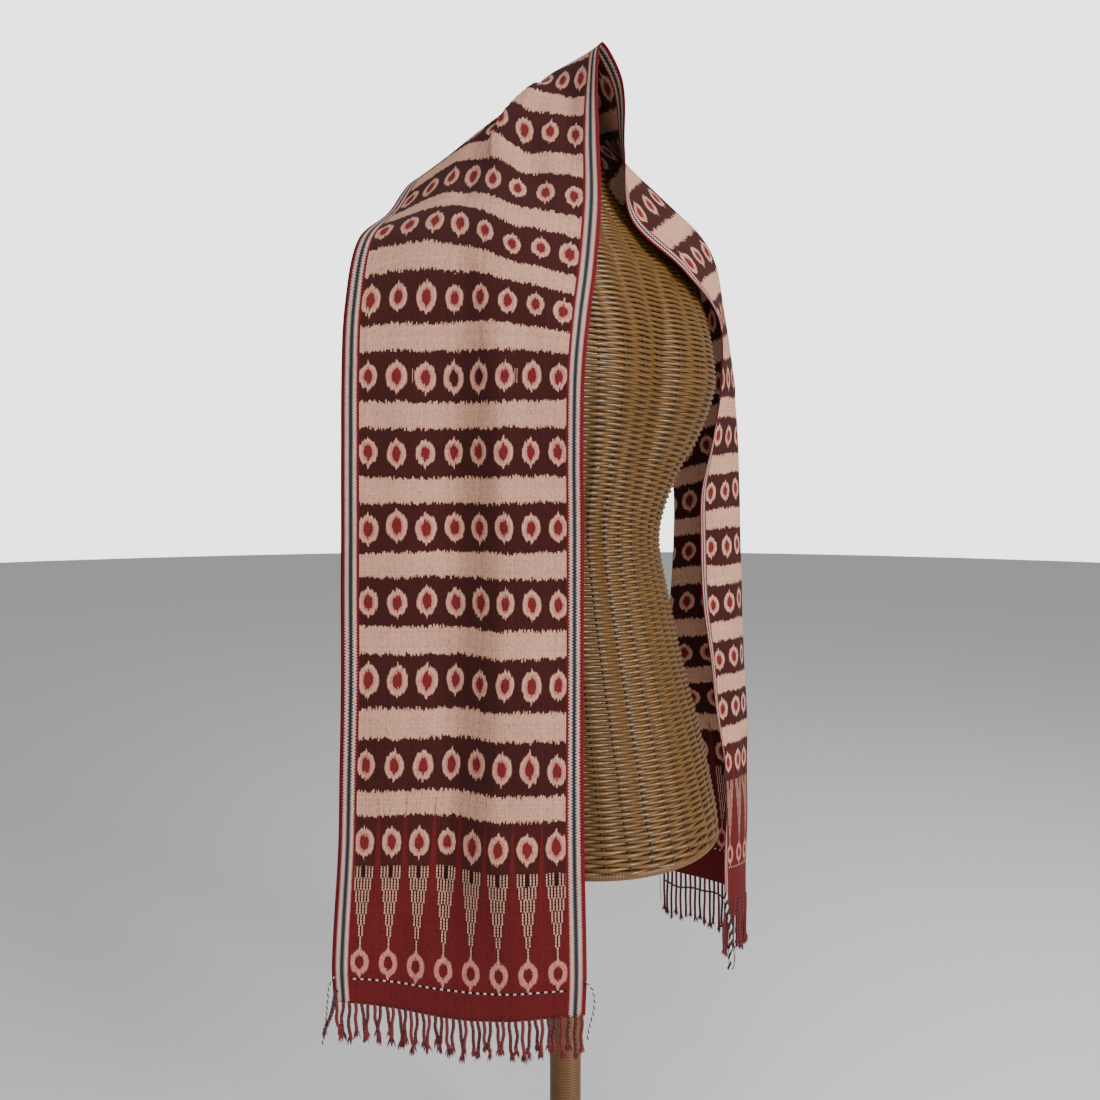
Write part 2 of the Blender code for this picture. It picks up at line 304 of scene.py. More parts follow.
def smooth(low: float, high: float, value: float) -> float:
    """Rise softly from 0 at low to 1 at high, or fall where low is the greater."""
    u = min(max((value - low) / (high - low), 0.0), 1.0)
    return u * u * (3 - 2 * u)


@lru_cache(maxsize=None)
def section_at(along: float) -> Section:
    """The section of the cloth at any place.

    Args:
        along: mm from the nape.

    Returns:
        The section there.
    """
    rows = SECTIONS[::-1]
    keys = tuple(row.along for row in rows)
    columns = [curve_value(keys, tuple(row[c] for row in rows), along) for c in range(1, 11)]
    return Section(along, *columns)


@lru_cache(maxsize=None)
def level_at(step: float) -> Level:
    """The form's outline at a place counted in rows of the table."""
    numbers = tuple(range(len(LEVELS)))
    return Level(*[curve_value(numbers, tuple(row[c] for row in LEVELS), step) for c in range(6)])


class Wiring:
    """Short calls for adding and linking shader nodes in one tree."""

    def __init__(self, tree: bpy.types.NodeTree) -> None:
        """Keep the tree that nodes go into."""
        self.tree = tree

    def node(self, kind: str, **settings: object) -> bpy.types.Node:
        """Add a node.

        Args:
            kind: the node's type name.
            settings: properties to set on it.

        Returns:
            The node.
        """
        made = self.tree.nodes.new(kind)
        for name, value in settings.items():
            setattr(made, name, value)
        return made

    def feed(self, socket: Socket, value: object) -> None:
        """Link a socket to an input, or set the input to a plain value.

        Args:
            socket: the input.
            value: a socket, a number or a colour.
        """
        if isinstance(value, Socket):
            self.tree.links.new(value, socket)
        elif isinstance(value, tuple) and len(value) == 3 and socket.type == "RGBA":
            socket.default_value = (*value, 1.0)
        else:
            socket.default_value = value

    def maths(self, operation: str, *values: object, clamp: bool = False) -> Socket:
        """One step of arithmetic.

        Args:
            operation: the Math node's operation.
            values: numbers or sockets.
            clamp: whether the result stays from 0 to 1.

        Returns:
            The result's socket.
        """
        made = self.node("ShaderNodeMath", operation=operation, use_clamp=clamp)
        for socket, value in zip(made.inputs, values):
            self.feed(socket, value)
        return made.outputs[0]

    def add(self, a: object, b: object) -> Socket:
        """a + b."""
        return self.maths("ADD", a, b)

    def less(self, a: object, b: object) -> Socket:
        """a - b."""
        return self.maths("SUBTRACT", a, b)

    def times(self, a: object, b: object) -> Socket:
        """a x b."""
        return self.maths("MULTIPLY", a, b)

    def size(self, a: object) -> Socket:
        """a without its sign."""
        return self.maths("ABSOLUTE", a)

    def both(self, *masks: object) -> Socket:
        """1 where every mask is 1.

        Args:
            masks: the masks.

        Returns:
            The mask.
        """
        result = masks[0]
        for mask in masks[1:]:
            result = self.times(result, mask)
        return result

    def either(self, a: object, b: object) -> Socket:
        """The larger of two masks."""
        return self.maths("MAXIMUM", a, b)

    def below(self, value: object, edge: object, soft: float = 0.0) -> Socket:
        """1 where a value is below an edge, with an optional soft step.

        Args:
            value: the value.
            edge: the edge.
            soft: half the width of the step.

        Returns:
            The mask.
        """
        if soft <= 0:
            return self.maths("LESS_THAN", value, edge)
        rest = self.less(edge, value)
        return self.maths("MULTIPLY_ADD", rest, 0.5 / soft, 0.5, clamp=True)

    def between(self, value: object, low: float, high: float, soft: float = 0.0) -> Socket:
        """1 where a value lies between two edges."""
        return self.times(self.below(value, high, soft), self.below(self.times(value, -1.0), -low, soft))

    def blend(self, factor: object, first: object, second: object, kind: str = "MIX") -> Socket:
        """Mix two colours.

        Args:
            factor: share of the second.
            first: the colour below.
            second: the colour above.
            kind: the Mix node's blend type.

        Returns:
            The mixed colour.
        """
        made = self.node("ShaderNodeMix", data_type="RGBA", blend_type=kind, clamp_factor=True)
        self.feed(made.inputs[0], factor)
        self.feed(made.inputs[6], first)
        self.feed(made.inputs[7], second)
        return made.outputs[2]

    def join(self, x: object, y: object, z: object = 0.0) -> Socket:
        """Make a vector of three values.

        Args:
            x: the first.
            y: the second.
            z: the third.

        Returns:
            The vector's socket.
        """
        made = self.node("ShaderNodeCombineXYZ")
        for socket, value in zip(made.inputs, (x, y, z)):
            self.feed(socket, value)
        return made.outputs[0]

    def chance(self, x: object, y: object) -> Socket:
        """A value from 0 to 1 that is fixed for each pair of whole numbers.

        Args:
            x: the first number.
            y: the second.

        Returns:
            The value.
        """
        made = self.node("ShaderNodeTexWhiteNoise", noise_dimensions="2D")
        self.feed(made.inputs["Vector"], self.join(x, y))
        return made.outputs["Value"]

    def cloud(self, place: object, scale: float, detail: float = 2.0, rough: float = 0.5) -> Socket:
        """Soft noise from 0 to 1.

        Args:
            place: the coordinates.
            scale: features per unit.
            detail: octaves.
            rough: weight of the small octaves.

        Returns:
            The noise value.
        """
        made = self.node("ShaderNodeTexNoise")
        self.feed(made.inputs["Vector"], place)
        made.inputs["Scale"].default_value = scale
        made.inputs["Detail"].default_value = detail
        made.inputs["Roughness"].default_value = rough
        return made.outputs["Fac"]

    def stretched(self, place: object, scale: tuple[float, float, float]) -> Socket:
        """Scale coordinates by a different number on each axis.

        Args:
            place: the coordinates.
            scale: the three numbers.

        Returns:
            The scaled coordinates.
        """
        made = self.node("ShaderNodeMapping")
        self.feed(made.inputs["Vector"], place)
        made.inputs["Scale"].default_value = scale
        return made.outputs[0]

    def bump(self, height: object, strength: float, distance: float) -> Socket:
        """Turn a height into a normal.

        Args:
            height: the height.
            strength: share of the effect.
            distance: metres for a height of 1.

        Returns:
            The normal.
        """
        made = self.node("ShaderNodeBump")
        made.inputs["Strength"].default_value = strength
        made.inputs["Distance"].default_value = distance
        self.feed(made.inputs["Height"], height)
        return made.outputs[0]

    def object_place(self) -> Socket:
        """The piece's own coordinates in metres."""
        return self.node("ShaderNodeTexCoord").outputs["Object"]


def new_group(name: str, inputs: dict[str, str], outputs: dict[str, str]) -> tuple[Wiring, dict, dict]:
    """Start a shader node group with named sockets.

    Args:
        name: the group's name.
        inputs: the kind of each input socket.
        outputs: the kind of each output socket.

    Returns:
        The wiring of its tree, its input sockets and its output sockets, by name.
    """
    tree = bpy.data.node_groups.new(name, "ShaderNodeTree")
    for socket, kind in inputs.items():
        tree.interface.new_socket(name=socket, in_out="INPUT", socket_type=f"NodeSocket{kind}")
    for socket, kind in outputs.items():
        tree.interface.new_socket(name=socket, in_out="OUTPUT", socket_type=f"NodeSocket{kind}")
    wiring = Wiring(tree)
    start = wiring.node("NodeGroupInput")
    end = wiring.node("NodeGroupOutput")
    return wiring, {n: start.outputs[n] for n in inputs}, {n: end.inputs[n] for n in outputs}


def grain_group() -> bpy.types.NodeTree:
    """The group that gives any fibre, cane or wood its streaks.

    Returns:
        The node group, with Place, Colour, Depth and Gloss in, and Colour, Roughness and Height out.
    """
    name = "streaked_grain"
    if name in bpy.data.node_groups:
        return bpy.data.node_groups[name]
    wires, start, end = new_group(
        name,
        {"Place": "Vector", "Colour": "Color", "Depth": "Float", "Gloss": "Float"},
        {"Colour": "Color", "Roughness": "Float", "Height": "Float"},
    )
    broad = wires.cloud(start["Place"], 1.0, 3.0, 0.55)
    fine = wires.cloud(start["Place"], 6.0, 2.0, 0.6)
    both = wires.add(wires.times(broad, 0.65), wires.times(fine, 0.35))
    shade = wires.add(1.0, wires.times(wires.times(wires.less(both, 0.5), 2.0), start["Depth"]))
    grey = wires.join(shade, shade, shade)
    wires.feed(end["Colour"], wires.blend(1.0, start["Colour"], grey, "MULTIPLY"))
    wires.feed(end["Roughness"], wires.add(start["Gloss"], wires.times(wires.less(fine, 0.5), 0.3)))
    wires.feed(end["Height"], fine)
    return wires.tree


@dataclass(frozen=True)
class Finish:
    """A streaked matt or satin finish for cane, wood or twisted yarn.

    Attributes:
        name: the material's name.
        colour: its middle tone.
        streaks: features per metre on each axis.
        depth: how far the streaks darken or lighten it.
        gloss: its mean roughness.
        relief: height of the streaks in metres.
        sheen: strength of the fuzz at its edges.
    """

    name: str
    colour: Colour
    streaks: tuple[float, float, float]
    depth: float
    gloss: float
    relief: float
    sheen: float = 0.0

    def material(self) -> bpy.types.Material:
        """Build the material once.

        Returns:
            The material.
        """
        if self.name in bpy.data.materials:
            return bpy.data.materials[self.name]
        made = bpy.data.materials.new(self.name)
        made.use_nodes = True
        shader = made.node_tree.nodes["Principled BSDF"]
        wires = Wiring(made.node_tree)
        grain = wires.node("ShaderNodeGroup", node_tree=grain_group())
        wires.feed(grain.inputs["Place"], wires.stretched(wires.object_place(), self.streaks))
        wires.feed(grain.inputs["Colour"], self.colour)
        grain.inputs["Depth"].default_value = self.depth
        grain.inputs["Gloss"].default_value = self.gloss
        wires.feed(shader.inputs["Base Color"], grain.outputs["Colour"])
        wires.feed(shader.inputs["Roughness"], grain.outputs["Roughness"])
        wires.feed(shader.inputs["Normal"], wires.bump(grain.outputs["Height"], 0.5, self.relief))
        shader.inputs["Sheen Weight"].default_value = self.sheen
        return made


class Oval(NamedTuple):
    """An upright ellipse with a pointed top and bottom, in mm.

    Attributes:
        half_width: half its width.
        half_height: half its height.
        tip: how far its points reach from its middle.
    """

    half_width: float
    half_height: float
    tip: float


class Chart(NamedTuple):
    """The places that the cloth's pattern is drawn on, as sockets, in mm unless they are counts.

    Attributes:
        across: from the inner selvage.
        along: from the nape, below zero on the far half.
        edge: from the nearer selvage.
        thread: which warp thread.
        own: how far that thread alone is dyed off its place.
        feather: how far it is dyed off its place in all.
        reach: from the nape, as dyed.
        row: which row of eyes is nearest, counted from the nape.
        from_row: from that row.
        columns: place among the columns of eyes.
        column: which column is nearest.
        from_column: from that column.
        eye_across: from the middle of the nearest eye, in its own size.
        eye_along: the same along the cloth.
        far: 1 on the far half.
        last: from the nape to the half's last row of eyes.
    """

    across: Socket
    along: Socket
    edge: Socket
    thread: Socket
    own: Socket
    feather: Socket
    reach: Socket
    row: Socket
    from_row: Socket
    columns: Socket
    column: Socket
    from_column: Socket
    eye_across: Socket
    eye_along: Socket
    far: Socket
    last: Socket


@dataclass(frozen=True)
class IkatFinish:
    """The tie-dyed cloth, charted in millimetres of cloth.

    Attributes:
        width: from selvage to selvage.
        first_row: the first row of eyes from the nape.
        row_pitch: from row to row of eyes.
        half_dark: half the height of a dark band.
        last_near: the near half's last row of eyes.
        last_far: the far half's last row of eyes.
        first_column: the first eye's share of the width.
        column_pitch: from eye to eye, as a share of the width.
        last_column: the number of the last eye in a row.
        border: the width of each striped selvage.
        pale_stripes: from the edge, where the pale stripes and what is between them lie.
        navy_stripe: from the edge, where the navy stripe lies.
        thread: the pitch of the warp.
        pick: the pitch of the weft.
        tied: how far along the cloth a thread keeps one offset.
        red_start: past the last row, where the red end starts.
        patch_end: past the last row, where the dark patches under its eyes end.
        ring_drop: past the last row, where the small rings lie.
        hem_line: past the last row, where the woven line of dashes lies.
        hem_repeat: from dash to dash of that line.
        hem_dash: the length of its white dashes.
        dash_pitch: from dash to dash across a taper.
        dash_half: half the width of a taper's dash, as a share of that pitch.
        taper_top: past the last row, where the tapers start.
        taper_step: the height of one step of a taper.
        taper_steps: how many steps it has.
        notch: half the width of the dark notch in its top.
        odd_row: the near half's row in which two eyes have dark cores.
        outer_eye: the eye's pale outline.
        middle_eye: its pink ring.
        inner_eye: its core.
        ring: the outline of a small ring.
        hole: its middle.
    """

    width: float = CLOTH_WIDTH
    first_row: float = 40.0
    row_pitch: float = 76.0
    half_dark: float = 25.0
    last_near: float = 876.0
    last_far: float = 952.0
    first_column: float = 0.107
    column_pitch: float = 0.1123
    last_column: float = 7.0
    border: float = 18.9
    pale_stripes: tuple[float, float] = (4.5, 15.8)
    navy_stripe: tuple[float, float] = (7.9, 12.4)
    thread: float = 0.8
    pick: float = 0.95
    tied: float = 19.0
    red_start: float = -27.0
    patch_end: float = 43.0
    ring_drop: float = 124.5
    hem_line: tuple[float, float] = (141.7, 143.5)
    hem_repeat: float = 7.6
    hem_dash: float = 3.0
    dash_pitch: float = 3.25
    dash_half: float = 0.24
    taper_top: float = 24.0
    taper_step: float = 12.3
    taper_steps: int = 7
    notch: float = 2.4
    odd_row: tuple[float, float] = (4.5, 5.5)
    outer_eye: Oval = Oval(9.8, 12.8, 16.2)
    middle_eye: Oval = Oval(6.8, 9.8, 12.0)
    inner_eye: Oval = Oval(4.6, 7.2, 9.5)
    ring: Oval = Oval(9.4, 12.5, 19.0)
    hole: Oval = Oval(4.6, 7.0, 9.0)
    dark: Colour = tone("3A1614")
    beige: Colour = tone("BF9079")
    pink: Colour = tone("B4746A")
    core: Colour = tone("6B2020")
    ground: Colour = tone("5C1718")
    crimson: Colour = tone("66101A")
    white: Colour = tone("C4A79A")
    navy: Colour = tone("141E28")
    black: Colour = tone("1C0908")

    def chart(self, wires: Wiring) -> Chart:
        """Work out the places that the pattern is drawn on.

        Args:
            wires: the tree.

        Returns:
            The places.
        """
        w = wires
        split = w.node("ShaderNodeSeparateXYZ")
        w.feed(split.inputs[0], w.node("ShaderNodeUVMap", uv_map="cloth").outputs[0])
        across = w.times(split.outputs[0], self.width)
        length = SECTIONS[0].along - SECTIONS[-1].along
        along = w.add(w.times(split.outputs[1], length), SECTIONS[-1].along)
        edge = w.maths("MINIMUM", across, w.less(self.width, across))

        # Each warp thread is dyed a little higher or lower than its neighbours
        thread = w.maths("FLOOR", w.times(across, 1 / self.thread))
        bundle = w.maths("FLOOR", w.times(across, 0.5 / self.thread))
        part = w.maths("FLOOR", w.times(along, 1 / self.tied))
        own = w.times(w.less(w.chance(thread, part), 0.5), 2.6)
        shared = w.times(w.less(w.chance(bundle, w.add(part, 40.0)), 0.5), 3.4)
        slow = w.cloud(w.join(w.times(across, 0.016), w.times(along, 0.011)), 1.0, 1.0)
        drift = w.times(w.less(slow, 0.5), 7.0)
        feather = w.add(own, shared)
        reach = w.size(w.add(w.add(along, feather), drift))

        # Rows of eyes count from the nape, the same on both halves
        rows = w.times(w.less(reach, self.first_row), 1 / self.row_pitch)
        row = w.maths("ROUND", rows)
        from_row = w.times(w.less(rows, row), self.row_pitch)
        share = w.times(w.times(w.add(thread, 0.5), self.thread), 1 / self.width)
        columns = w.times(w.less(share, self.first_column), 1 / self.column_pitch)
        column = w.maths("MINIMUM", w.maths("MAXIMUM", w.maths("ROUND", columns), 0.0), self.last_column)
        from_column = w.times(w.less(columns, column), self.column_pitch * self.width)

        # Each eye sits a little off its row and is a little larger or smaller than the next
        far = w.below(along, 0.0)
        side = w.less(1.0, w.times(far, 2.0))
        calm = w.less(from_row, w.times(w.times(feather, side), 0.25))
        nudge = w.times(w.less(w.chance(column, w.add(row, 7.0)), 0.5), 3.0)
        bigger = w.add(0.93, w.times(w.chance(w.add(column, 11.0), row), 0.17))
        eye_across = w.maths("DIVIDE", from_column, bigger)
        eye_along = w.maths("DIVIDE", w.add(calm, nudge), bigger)
        last = w.add(self.last_near, w.times(far, self.last_far - self.last_near))
        return Chart(across, along, edge, thread, own, feather, reach, row, from_row, columns, column,
                     from_column, eye_across, eye_along, far, last)

    def eye(self, wires: Wiring, dc: Socket, dr: Socket, oval: Oval) -> Socket:
        """An upright ellipse with a pointed top and bottom.

        Args:
            wires: the tree.
            dc: distance from the eye's middle across the cloth.
            dr: distance along the cloth.
            oval: its shape.

        Returns:
            The mask.
        """
        across = wires.times(dc, 1 / oval.half_width)
        up = wires.times(dr, 1 / oval.half_height)
        ring = wires.maths("SQRT", wires.add(wires.times(across, across), wires.times(up, up)))
        near_side = wires.times(wires.size(dc), 1.7 / oval.half_width)
        point = wires.add(near_side, wires.times(wires.size(dr), 1 / oval.tip))
        return wires.below(wires.maths("MINIMUM", ring, point), 1.0, 0.05)

    def border_colour(self, wires: Wiring, edge: Socket, along: Socket) -> Socket:
        """The five stripes of a selvage, with their stepped joins.

        Args:
            wires: the tree.
            edge: distance from the nearer selvage.
            along: distance along the cloth.

        Returns:
            The colour.
        """
        step = wires.maths("PINGPONG", along, 1.5)
        place = wires.add(edge, wires.times(wires.less(wires.below(step, 0.75), 0.5), 1.3))
        plait = wires.maths("PINGPONG", wires.add(along, wires.times(edge, 0.9)), 1.2)
        pale = wires.blend(wires.times(wires.below(plait, 0.3, 0.15), 0.3), self.white, self.crimson)
        knot = wires.maths("PINGPONG", wires.less(along, edge), 1.2)
        deep = wires.blend(wires.times(wires.below(knot, 0.25, 0.15), 0.12), self.navy, self.white)
        colour = wires.blend(wires.between(place, *self.pale_stripes, 0.15), self.crimson, pale)
        return wires.blend(wires.between(place, *self.navy_stripe, 0.15), colour, deep)

    def taper(self, wires: Wiring, dc: Socket, past: Socket) -> tuple[Socket, Socket]:
        """The stepped inverted taper of dashes below each eye of the last row.

        Args:
            wires: the tree.
            dc: distance from the column's middle.
            past: distance past the last row of eyes.

        Returns:
            The masks of its pale dashes and of its dark ones.
        """
        end = self.taper_top + self.taper_step * self.taper_steps
        number = wires.maths("FLOOR", wires.times(wires.less(past, self.taper_top), 1 / self.taper_step))
        half = wires.times(wires.less(self.taper_steps - 1.0, number), 0.5)
        column = wires.add(wires.times(dc, 1 / self.dash_pitch), half)
        nearest = wires.maths("ROUND", column)
        rest = wires.size(wires.less(column, nearest))
        inside = wires.both(
            wires.below(wires.size(wires.less(column, half)), wires.add(half, 0.45)),
            wires.between(past, self.taper_top, end - 0.5),
        )
        middle = wires.both(wires.below(number, 0.5), wires.below(wires.size(dc), self.notch))
        bead = wires.below(wires.maths("PINGPONG", past, 1.5), 1.2)
        dash = wires.below(rest, self.dash_half)
        pale = wires.both(inside, dash, bead, wires.less(1.0, middle))
        dark = wires.both(inside, wires.less(1.0, dash))
        return pale, wires.either(dark, wires.both(inside, middle))

    def ground_colour(self, wires: Wiring, at: Chart) -> Socket:
        """The bands, and the red end with its dark patches, tapers and small rings.

        Args:
            wires: the tree.
            at: the places of the pattern.

        Returns:
            The colour under the eyes.
        """
        w = wires
        past = w.less(at.reach, at.last)
        steady = w.less(w.size(w.add(at.along, w.times(at.feather, 0.35))), at.last)
        beige_band = w.below(w.times(w.size(at.from_row), -1.0), -self.half_dark, 0.35)
        bands = w.blend(beige_band, self.dark, self.beige)

        # The red of the end rises between the last eyes in points, and a few threads carry it further
        narrow = w.less(w.times(past, 0.045), 12.0)
        stripe = w.below(w.times(w.size(at.eye_across), -1.0), narrow, 0.4)
        drawn = w.below(w.chance(at.thread, 3.0), 0.6)
        bleed = w.both(stripe, w.between(past, -46.0, self.red_start), drawn)
        bands = w.blend(w.times(bleed, 0.6), bands, self.ground)
        patch = w.both(w.between(past, self.red_start, self.patch_end, 0.5), w.less(1.0, stripe))
        red_end = w.blend(w.times(patch, 0.9), self.ground, self.dark)

        under_eye = w.less(w.add(steady, w.times(at.own, 0.5)), self.ring_drop)
        ring = self.eye(w, at.from_column, under_eye, self.ring)
        hole = self.eye(w, at.from_column, under_eye, self.hole)
        pale, deep = self.taper(w, at.from_column, steady)
        red_end = w.blend(w.times(deep, 0.85), red_end, self.black)
        red_end = w.blend(pale, red_end, self.beige)
        red_end = w.blend(w.both(ring, w.less(1.0, hole)), red_end, self.pink)
        return w.blend(w.below(w.times(past, -1.0), -self.red_start), bands, red_end)

    def with_eyes(self, wires: Wiring, at: Chart, colour: Socket) -> Socket:
        """Add the eyes, and the few odd marks of the sixth row of the near half.

        Args:
            wires: the tree.
            at: the places of the pattern.
            colour: what lies under them.

        Returns:
            The colour with them.
        """
        w = wires
        in_rows = w.below(w.less(at.reach, at.last), 30.0)
        near = w.less(1.0, at.far)
        shapes = [self.eye(w, at.eye_across, at.eye_along, oval) for oval in
                  (self.outer_eye, self.middle_eye, self.inner_eye)]
        outer, middle, inner = [w.both(shape, in_rows) for shape in shapes]
        colour = w.blend(outer, colour, self.beige)
        colour = w.blend(middle, colour, self.pink)
        odd = w.both(w.between(at.row, *self.odd_row), w.between(at.column, 2.5, 4.5), near)
        colour = w.blend(inner, colour, w.blend(odd, self.core, self.dark))

        # Two pairs of thin pale dashes
        beside = w.maths("MINIMUM", w.size(w.less(at.columns, 5.4)), w.size(w.less(at.columns, 1.6)))
        short = w.below(w.size(at.from_row), 6.5)
        mark = w.both(w.between(beside, 0.03, 0.06), w.between(at.row, *self.odd_row), short)
        return w.blend(w.times(w.both(mark, near), 0.8), colour, self.beige)

    def with_weave(self, wires: Wiring, at: Chart, colour: Socket) -> tuple[Socket, Socket]:
        """Add the grain of the weave: each thread, each pick, and a broad unevenness.

        Args:
            wires: the tree.
            at: the places of the pattern.
            colour: the dyed colour.

        Returns:
            The colour with its grain, and a value that differs at each crossing of two threads.
        """
        w = wires
        pick = w.maths("FLOOR", w.times(at.along, 1 / self.pick))
        speck = w.less(w.chance(at.thread, pick), 0.5)
        streak = w.less(w.chance(at.thread, 91.0), 0.5)
        bar = w.less(w.chance(pick, 17.0), 0.5)
        broad = w.less(w.cloud(w.join(w.times(at.across, 0.02), w.times(at.along, 0.008)), 1.0, 3.0), 0.5)
        fleck = w.below(w.chance(at.thread, w.maths("FLOOR", w.times(at.along, 1 / 3.3))), 0.09)
        shade = w.add(w.times(speck, 0.3), w.add(w.times(streak, 0.18), w.times(bar, 0.13)))
        mottle = w.less(w.cloud(w.join(w.times(at.across, 0.42), w.times(at.along, 0.26)), 1.0, 2.0), 0.5)
        shade = w.add(w.less(shade, w.times(fleck, 0.22)), w.times(mottle, 0.45))
        shade = w.add(1.0, w.add(shade, w.times(broad, 0.3)))
        return w.blend(1.0, colour, w.join(shade, shade, shade), "MULTIPLY"), speck

    def material(self) -> bpy.types.Material:
        """Chart the whole cloth.

        Returns:
            The material.
        """
        made = bpy.data.materials.new("ikat_cotton")
        made.use_nodes = True
        shader = made.node_tree.nodes["Principled BSDF"]
        w = Wiring(made.node_tree)
        at = self.chart(w)
        colour = self.with_eyes(w, at, self.ground_colour(w, at))

        # The woven line of dashes near the hem, and the selvages
        line = w.between(w.less(w.size(at.along), at.last), *self.hem_line)
        dash = w.below(w.maths("MODULO", at.across, self.hem_repeat), self.hem_dash)
        colour = w.blend(line, colour, w.blend(dash, self.black, self.white))
        stripes = self.border_colour(w, at.edge, at.along)
        colour = w.blend(w.below(at.edge, self.border, 0.15), colour, stripes)
        colour, speck = self.with_weave(w, at, colour)
        w.feed(shader.inputs["Base Color"], colour)

        warp = w.maths("PINGPONG", at.across, self.thread)
        weft = w.maths("PINGPONG", at.along, self.pick)
        height = w.add(w.add(warp, weft), w.times(speck, 0.6))
        w.feed(shader.inputs["Normal"], w.bump(height, 0.35, 0.00035))
        w.feed(shader.inputs["Roughness"], w.add(0.88, w.times(speck, 0.1)))
        shader.inputs["Sheen Weight"].default_value = 0.03
        shader.inputs["Sheen Roughness"].default_value = 0.6
        shader.inputs["Specular IOR Level"].default_value = 0.1
        return made


CANE = Finish("golden_cane", tone("65461F"), (60.0, 60.0, 320.0), 0.7, 0.3, 0.0002)
# The stakes' cane is darker than the weavers'. This is partly its own tone and partly painted shade for the
# deep gaps of the weave, where the stakes show.
STAKE_PAINTED_SHADE = Finish("stake_cane_painted_shade", tone("3A2410"), (300.0, 300.0, 40.0), 0.4, 0.5, 0.0002)
WOUND = Finish("wound_cane", tone("613E18"), (40.0, 40.0, 300.0), 0.5, 0.42, 0.0002)
OAK = Finish("stained_wood", tone("6B4022"), (18.0, 140.0, 60.0), 0.35, 0.4, 0.0002)
# Streaks per metre of a twisted yarn's fibres
FIBRES = (900.0, 900.0, 500.0)
RED_YARN = Finish("red_yarn", tone("6A1A1D"), FIBRES, 0.5, 0.9, 0.0003, 0.03)
DARK_YARN = Finish("dark_yarn", tone("3A1012"), FIBRES, 0.5, 0.9, 0.0003, 0.03)
WHITE_YARN = Finish("white_yarn", tone("CFC6BE"), FIBRES, 0.3, 0.9, 0.0003, 0.3)
NAVY_YARN = Finish("navy_yarn", tone("161D26"), FIBRES, 0.4, 0.9, 0.0003, 0.05)
YARNS = (RED_YARN, DARK_YARN, WHITE_YARN, NAVY_YARN)


class Yarn(IntEnum):
    """The fringes' yarns, in the order of YARNS."""

    RED = 0
    DEEP = 1
    WHITE = 2
    NAVY = 3


def place_piece(obj: bpy.types.Object, replaces: str | None = None) -> bpy.types.Object:
    """Let a piece ride with the part and the solid it stands for.

    Args:
        obj: the piece.
        replaces: the solid that it stands for, if any.

    Returns:
        The piece.
    """
    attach(obj, ROOT)
    if replaces:
        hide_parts(replaces)
    LOG.info("%s: %d faces", obj.name, len(obj.data.polygons))
    return obj


def mesh_piece(name: str, bm: bmesh.types.BMesh, finishes: tuple, flat: bool = False) -> bpy.types.Object:
    """Turn a bmesh into an object.

    Args:
        name: its name.
        bm: its shape, which is freed.
        finishes: finishes in the order of the faces' material numbers.
        flat: whether faces stay flat-shaded.

    Returns:
        The object.
    """
    mesh = bpy.data.meshes.new(name)
    bm.to_mesh(mesh)
    bm.free()
    for finish in finishes:
        mesh.materials.append(finish.material())
    if not flat:
        mesh.shade_smooth()
    obj = bpy.data.objects.new(name, mesh)
    bpy.context.scene.collection.objects.link(obj)
    return obj


def thicken(bm: bmesh.types.BMesh, height: float) -> None:
    """Turn flat faces into a slab.

    Args:
        bm: the faces, which are extruded.
        height: how high, in metres.
    """
    lifted = bmesh.ops.extrude_face_region(bm, geom=list(bm.faces))["geom"]
    verts = [part for part in lifted if isinstance(part, bmesh.types.BMVert)]
    bmesh.ops.translate(bm, vec=(0, 0, height), verts=verts)


def strand_piece(name: str, strands: list[Strand], finishes: tuple, rounding: int = 1) -> bpy.types.Object:
    """Make tubes along many lines and join them as one mesh.

    Args:
        name: the piece's name.
        strands: the tubes.
        finishes: the finishes that the strands name by number.
        rounding: 0 for four sides, 1 for six, 2 for eight.

    Returns:
        The mesh object.
    """
    data = bpy.data.curves.new(name, "CURVE")
    data.dimensions = "3D"
    data.bevel_depth = 1.0
    data.bevel_resolution = rounding
    data.use_fill_caps = True
    data.twist_mode = "Z_UP" if strands[0].closed else "MINIMUM"
    # A strand can name only a finish that is already there
    for finish in finishes:
        data.materials.append(finish.material())
    for strand in strands:
        spline = data.splines.new("POLY")
        spline.points.add(len(strand.points) - 1)
        spline.points.foreach_set("co", [v for p in strand.points for v in (*p, 1.0)])
        spline.points.foreach_set("radius", strand.radii)
        spline.use_cyclic_u = strand.closed
        spline.material_index = strand.finish
    guide = bpy.data.objects.new(name + "_line", data)
    bpy.context.scene.collection.objects.link(guide)
    bpy.context.view_layer.update()
    mesh = bpy.data.meshes.new_from_object(guide.evaluated_get(bpy.context.evaluated_depsgraph_get()))
    bpy.data.objects.remove(guide)
    mesh.name = name
    mesh.shade_smooth()
    obj = bpy.data.objects.new(name, mesh)
    bpy.context.scene.collection.objects.link(obj)
    return obj


def twisted(line: list[Vector], first: Vector, second: Vector, radius: float, turn: float,
            finishes: tuple[int, int], start: float = 0.0) -> list[Strand]:
    """Two plies wound round a line.

    Args:
        line: the cord's middle.
        first: one direction square to it.
        second: the other.
        radius: the cord's radius.
        turn: the length of one full turn.
        finishes: the number of each ply's finish.
        start: the turn's phase at the start.

    Returns:
        The two strands.
    """
    made = []
    for ply, finish in enumerate(finishes):
        points, gone = [], 0.0
        for i, middle in enumerate(line):
            gone += (middle - line[i - 1]).length if i else 0.0
            phase = start + 2 * math.pi * gone / turn + math.pi * ply
            points.append(middle + (first * math.cos(phase) + second * math.sin(phase)) * radius * 0.46)
        made.append(Strand(points, [radius * 0.56] * len(points), finish))
    return made


